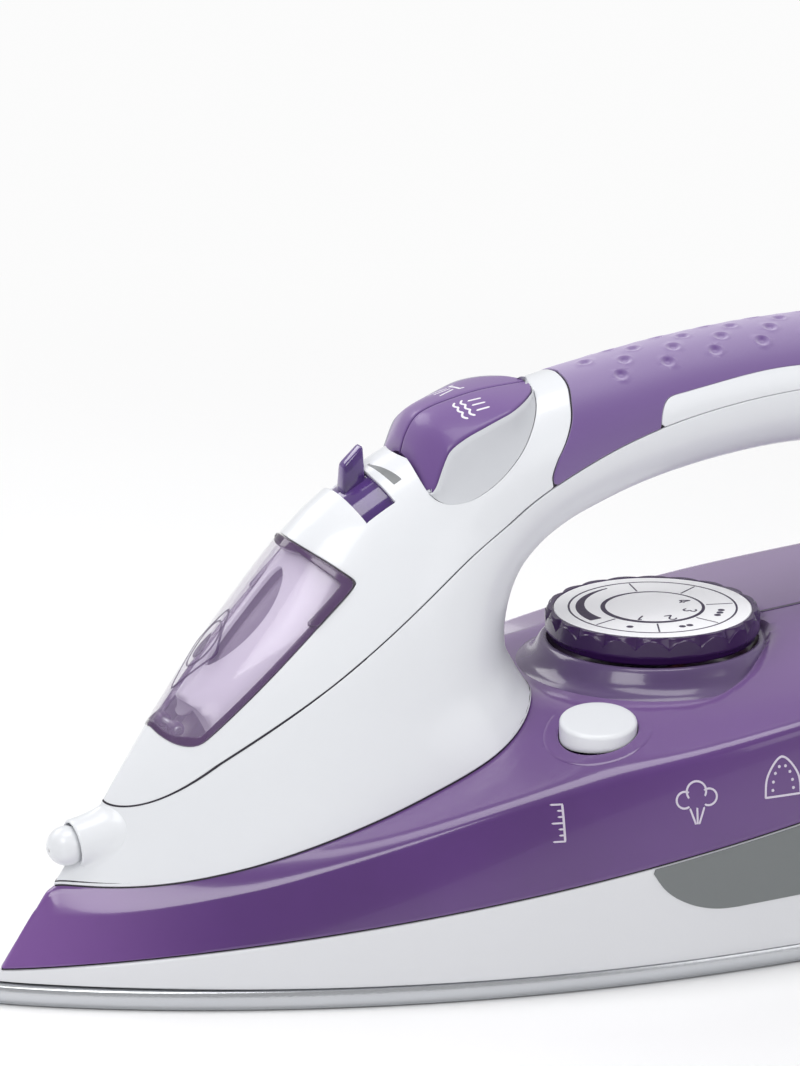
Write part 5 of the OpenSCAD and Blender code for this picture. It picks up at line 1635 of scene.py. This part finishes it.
def vent_outlines():
    vents = []
    for t in range(16, 16 + 13 * 12, 13):
        for side in (-1, 1):
            if sole_y(t) > 12:
                vents.append(oval(t, side * float(sole_y(t) - 7.5), VENT_R, 16))
    for i in range(7):
        for side in (-1, 1):
            vents.append(oval(58 + i * 12, side * (4 + i * 1.3), VENT_R, 16))
    return vents


def sole_surface(uv):
    flat = np.stack([uv[:, 0], uv[:, 1], np.zeros(len(uv))], -1)
    return flat, np.tile(np.array([0, 0, -1.0]), (len(uv), 1))


def build_soleplate():
    t = SOLE_END * ((1 - np.cos(np.linspace(0, math.pi, 220))) / 2)
    half = np.stack([t, -sole_y(t)], -1)
    loop = dedupe(np.vstack([half, (half * np.array([1, -1]))[::-1]]), 0.3)
    vents = vent_outlines()
    panel("soleplate_skin", sole_surface, offset_loop(loop, -1.6), vents, material="sole",
          replaces="soleplate", step=6.0, edge_step=0.8, thick=4.8, roll=0.6, roll_steps=4)
    rows = []
    for inset, z in [(1.02, 0.55), (0.35, 1.1), (0.05, 1.9), (0.0, 2.6), (0.0, 4.6),
                     (0.3, 4.95), (2.4, 5.0)]:
        ring = offset_loop(loop, -inset)
        rows.append(np.column_stack([ring, np.full(len(ring), z)]))
    sheet("soleplate_rim", rows, "sole", close_row=True)
    # dark wells of painted shade inside the vents, closed at the top
    verts, faces = [], []
    for vent in vents:
        cx, cy = vent.mean(0)
        base = len(verts)
        for z in (0.9, 4.5):
            for f in np.linspace(0, 2 * math.pi, 16, endpoint=False):
                verts.append((cx + 1.42 * math.cos(f), cy + 1.42 * math.sin(f), z))
        for j in range(16):
            k = (j + 1) % 16
            faces.append([base + j, base + k, base + 16 + k, base + 16 + j])
        faces.append([base + 16 + j for j in range(16)])
    register(make("vent_wells", verts, faces, "gap"), "gap", "dark")


# ---------------------------------------------------------------- dark liners in the gaps: painted shade in seams and joints
def liner(name, rows, sharp=80, **options):
    sheet(name, rows, "gap", slot="dark", sharp=sharp, **options)


def build_liners():
    across = np.array([-2.4, -1.2, 0, 1.2, 2.4])
    # dark strips of painted shade under the seams between upper and lower shell
    for side, label in SIDES:
        liner("seam_liner_" + label, [body(np.full(5, s), side * (seam_a(s) + across), -0.55)
                                      for s in np.linspace(1.5, 13.2, 300)])
    # dark line of painted shade over the seam round the front of the handle, sinking in as it runs
    # back
    s = np.concatenate([np.linspace(1.4505, 1.6, 120), np.linspace(1.605, 3.2, 120)])
    half = to_uv(s, -seam_a(s))
    line = resample(np.vstack([half[::-1], half[1:] * np.array([1, -1])]), 0.4)
    left = line_frame(line)[1]
    height = 0.04 - 0.2 * smooth(2.2, 3.0, to_sa(line)[0])
    rows = []
    for offset in (-0.24, 0.0, 0.24):
        p, n = HANDLE(line + left * offset)
        rows.append(p + n * height[:, None])
    liner("seam_front", rows)
    # dark band of painted shade where the handle's foot meets the deck: grow, lift
    a = np.linspace(0, 360, 241)[:-1]
    liner("foot_joint_shade", [body(np.zeros(240), a, grow, lift)
                          for grow, lift in ((-1.6, 1.3), (-0.2, 1.3), (-0.2, -0.7))],
          close_row=True, sharp=60)
    # dark band of painted shade along the joint of skirt and tank
    liner("skirt_joint_shade", both_sides([skirt_row(1, 0.5, -0.5), skirt_row(1, 0.5, 0.6)]))
    # ring of painted shade between shell and grip
    ring = np.array([body(*to_sa(near_uv(GRIP_CURVE + np.array([shift, 0]))), -0.6)
                     for shift in (-1.1, 1.1)])
    liner("grip_liner", np.concatenate([ring, ring[:, ::-1] * MIRROR], 1))


def build_dial_pointer():
    """Pointer on the deck behind the dial."""
    outline = round_corners([[205.2, -0.6], [218.5, -0.6], [218.5, 0.6], [205.2, 0.6]], 0.3)
    printed("dial_pointer", outline, lambda x, y, z: np.array([x, y, float(z_deck(x, y)) + z]),
            0.03, 0.09, "dark", edge_step=0.6)


# ---------------------------------------------------------------- marks on the tank's sides
def on_wall(side):
    def place(t, z, out):
        joint = float(z_joint(t))
        k = (z - joint) / (float(z_crease(t)) - joint)
        y = float(plan(t, nose_t(z), tank_width(k))) + out
        return np.array([t, side * y, z])
    return place


# puffs of the steam plume: t and z from its centre, radius, start and end angle
PUFFS = [(-3.0, 1.6, 2.0, 60, 300), (0.0, 3.4, 2.4, -30, 215), (3.0, 1.8, 2.0, -120, 120)]
# sole icon, from its centre: outline t, z; dots t, z
SOLE_ICON = [(-4.6, -3.8), (-4.2, 0.5), (-2.2, 4.0), (0, 5.6), (2.2, 4.0), (4.2, 0.5),
             (4.6, -3.8)]
SOLE_DOTS = [(-2.7, -2.2), (-2.5, -0.2), (-1.9, 1.8), (-0.8, 3.3), (0.8, 3.3), (1.9, 1.8),
             (2.5, -0.2), (2.7, -2.2)]


def build_wall_marks(side, label):
    def mark(name, outline):
        printed(name, outline, on_wall(side), 0.02, 0.07, "mark", slot="tank")

    line_t, low, high = 126.6, 38.2, 46.8
    mark("level_line_" + label, stroke([(line_t, low), (line_t, high)], 0.45))
    for j, z in enumerate(np.linspace(low, high, 7)):
        tick = [(line_t, z), (125.4 if j % 3 else 123.9, z)]
        mark("level_tick_%s_%d" % (label, j), stroke(tick, 0.35))
    t, z = 158.5, 44.0
    for j, (dt, dz, radius, start, stop) in enumerate(PUFFS):
        puff = [(t + dt + radius * math.cos(f), z + dz + radius * math.sin(f))
                for f in np.radians(np.linspace(start, stop, 26))]
        mark("plume_%s_%d" % (label, j), stroke(puff, 0.42))
    for j, (foot, tip) in enumerate(((-1.1, -2.2), (0, 0), (1.1, 2.2))):
        jet = [(t + 0.4 * foot, z - 4.4), (t + 0.8 * tip, z - 0.6)]
        mark("plume_jet_%s_%d" % (label, j), stroke(jet, 0.4))
    t, z = 180.5, 47.6
    outline = [(t + dt, z + dz) for dt, dz in SOLE_ICON]
    mark("sole_icon_" + label, stroke(spline(outline, 8), 0.45))
    mark("sole_icon_base_" + label, stroke([outline[0], outline[-1]], 0.45))
    for j, (dt, dz) in enumerate(SOLE_DOTS):
        mark("sole_dot_%s_%d" % (label, j), oval(t + dt, z + dz, 0.38, 10))


# ---------------------------------------------------------------- studio, in metres
# name, location, target, size, size_y, watts
LIGHTS = [("key", (-0.75, -0.55, 0.95), (0, 0, 0.08), 0.6, 0.5, 4.6),
          ("fill", (0.75, -1.1, 0.55), (0.02, 0, 0.08), 0.9, 0.7, 2.6),
          ("rim", (-0.4, 0.9, 0.85), (0, 0, 0.08), 0.7, 0.5, 3.6),
          ("top", (0.0, -0.05, 1.1), (0, 0, 0.05), 0.8, 0.5, 4.6)]


def build_world():
    """White to the camera, half as bright as a light."""
    world = bpy.data.worlds.new("studio")
    bpy.context.scene.world = world
    world.use_nodes = True
    tree = world.node_tree
    background = tree.nodes["Background"]
    background.inputs["Color"].default_value = (1, 1, 1, 1)
    path = add_node(tree, "LightPath")
    strength = add_node(tree, "MapRange", {"To Min": 0.5, "To Max": 1.0},
                        {"Value": path.outputs["Is Camera Ray"]})
    tree.links.new(strength.outputs["Result"], background.inputs["Strength"])


def build_lights():
    for name, location, target, size, size_y, watts in LIGHTS:
        lamp = bpy.data.lights.new(name, "AREA")
        lamp.energy = watts
        lamp.size = size
        lamp.shape = "RECTANGLE"
        lamp.size_y = size_y
        obj = bpy.data.objects.new(name, lamp)
        bpy.context.scene.collection.objects.link(obj)
        obj.location = location
        aim = Vector(target) - Vector(location)
        obj.rotation_euler = aim.to_track_quat("-Z", "Y").to_euler()


def build_floor():
    """Pale floor that fades to plain white away from the iron."""
    bpy.ops.mesh.primitive_plane_add(size=6, location=(0, 0, -0.0002))
    floor = bpy.context.object
    floor.name = "studio_floor"
    material = finish("floor_pale", (0.93, 0.93, 0.935), rough=0.6, drift=0.004, grain=0.02)
    tree = material.node_tree
    place = add_node(tree, "TexCoord").outputs["Object"]
    reach = add_node(tree, "VectorMath", links={0: place}, operation="LENGTH")
    fade = add_node(tree, "MapRange", {"From Min": 0.26, "From Max": 0.62},
                    {"Value": reach.outputs["Value"]}, interpolation_type="SMOOTHSTEP")
    white = add_node(tree, "Emission", {"Color": (1, 1, 1, 1), "Strength": 0.97})
    mix = add_node(tree, "MixShader", links={
        "Fac": fade.outputs["Result"], 1: tree.nodes["Principled BSDF"].outputs["BSDF"],
        2: white.outputs["Emission"]})
    tree.links.new(mix.outputs["Shader"], tree.nodes["Material Output"].inputs["Surface"])
    floor.data.materials.append(material)


def build_camera():
    camera = bpy.data.cameras.new("cam")
    obj = bpy.data.objects.new("cam", camera)
    bpy.context.scene.collection.objects.link(obj)
    right = Vector((0.9063, -0.4226, 0))
    up = Vector((0.1236, 0.2650, 0.9563))
    back = Vector((-0.4042, -0.8667, 0.2924))
    target = (-0.0315, 0, 0.1014)
    distance = 1.75
    camera.lens = 250
    camera.clip_end = 20
    obj.matrix_world = Matrix([(right[i], up[i], back[i], target[i] + back[i] * distance)
                               for i in range(3)] + [(0, 0, 0, 1)])
    bpy.context.scene.camera = obj
    bpy.context.scene.view_settings.view_transform = "Standard"


# ---------------------------------------------------------------- build
upper_shell = build_upper_shell()
build_grip()
lower_shell = build_lower_shell()
tank_skin = build_tank()
build_skirt()
build_side_panels()
build_dial()
build_dial_marks()
lid_rim, lid_pane = build_lid()
thin_at_hinge(upper_shell, least=0.55, full=1.15)
thin_at_hinge(lid_rim, least=0.95, full=2.1)
thin_at_hinge(lid_pane, least=0.75, full=1.5)
build_basin()
build_lid_emboss()
build_keys()
build_key_housing()
build_lever()
build_self_clean()
build_nozzle(lower_shell, tank_skin)
build_heel()
build_soleplate()
build_liners()
build_dial_pointer()
for side, label in SIDES:
    build_wall_marks(side, label)
build_world()
build_lights()
build_floor()
build_camera()
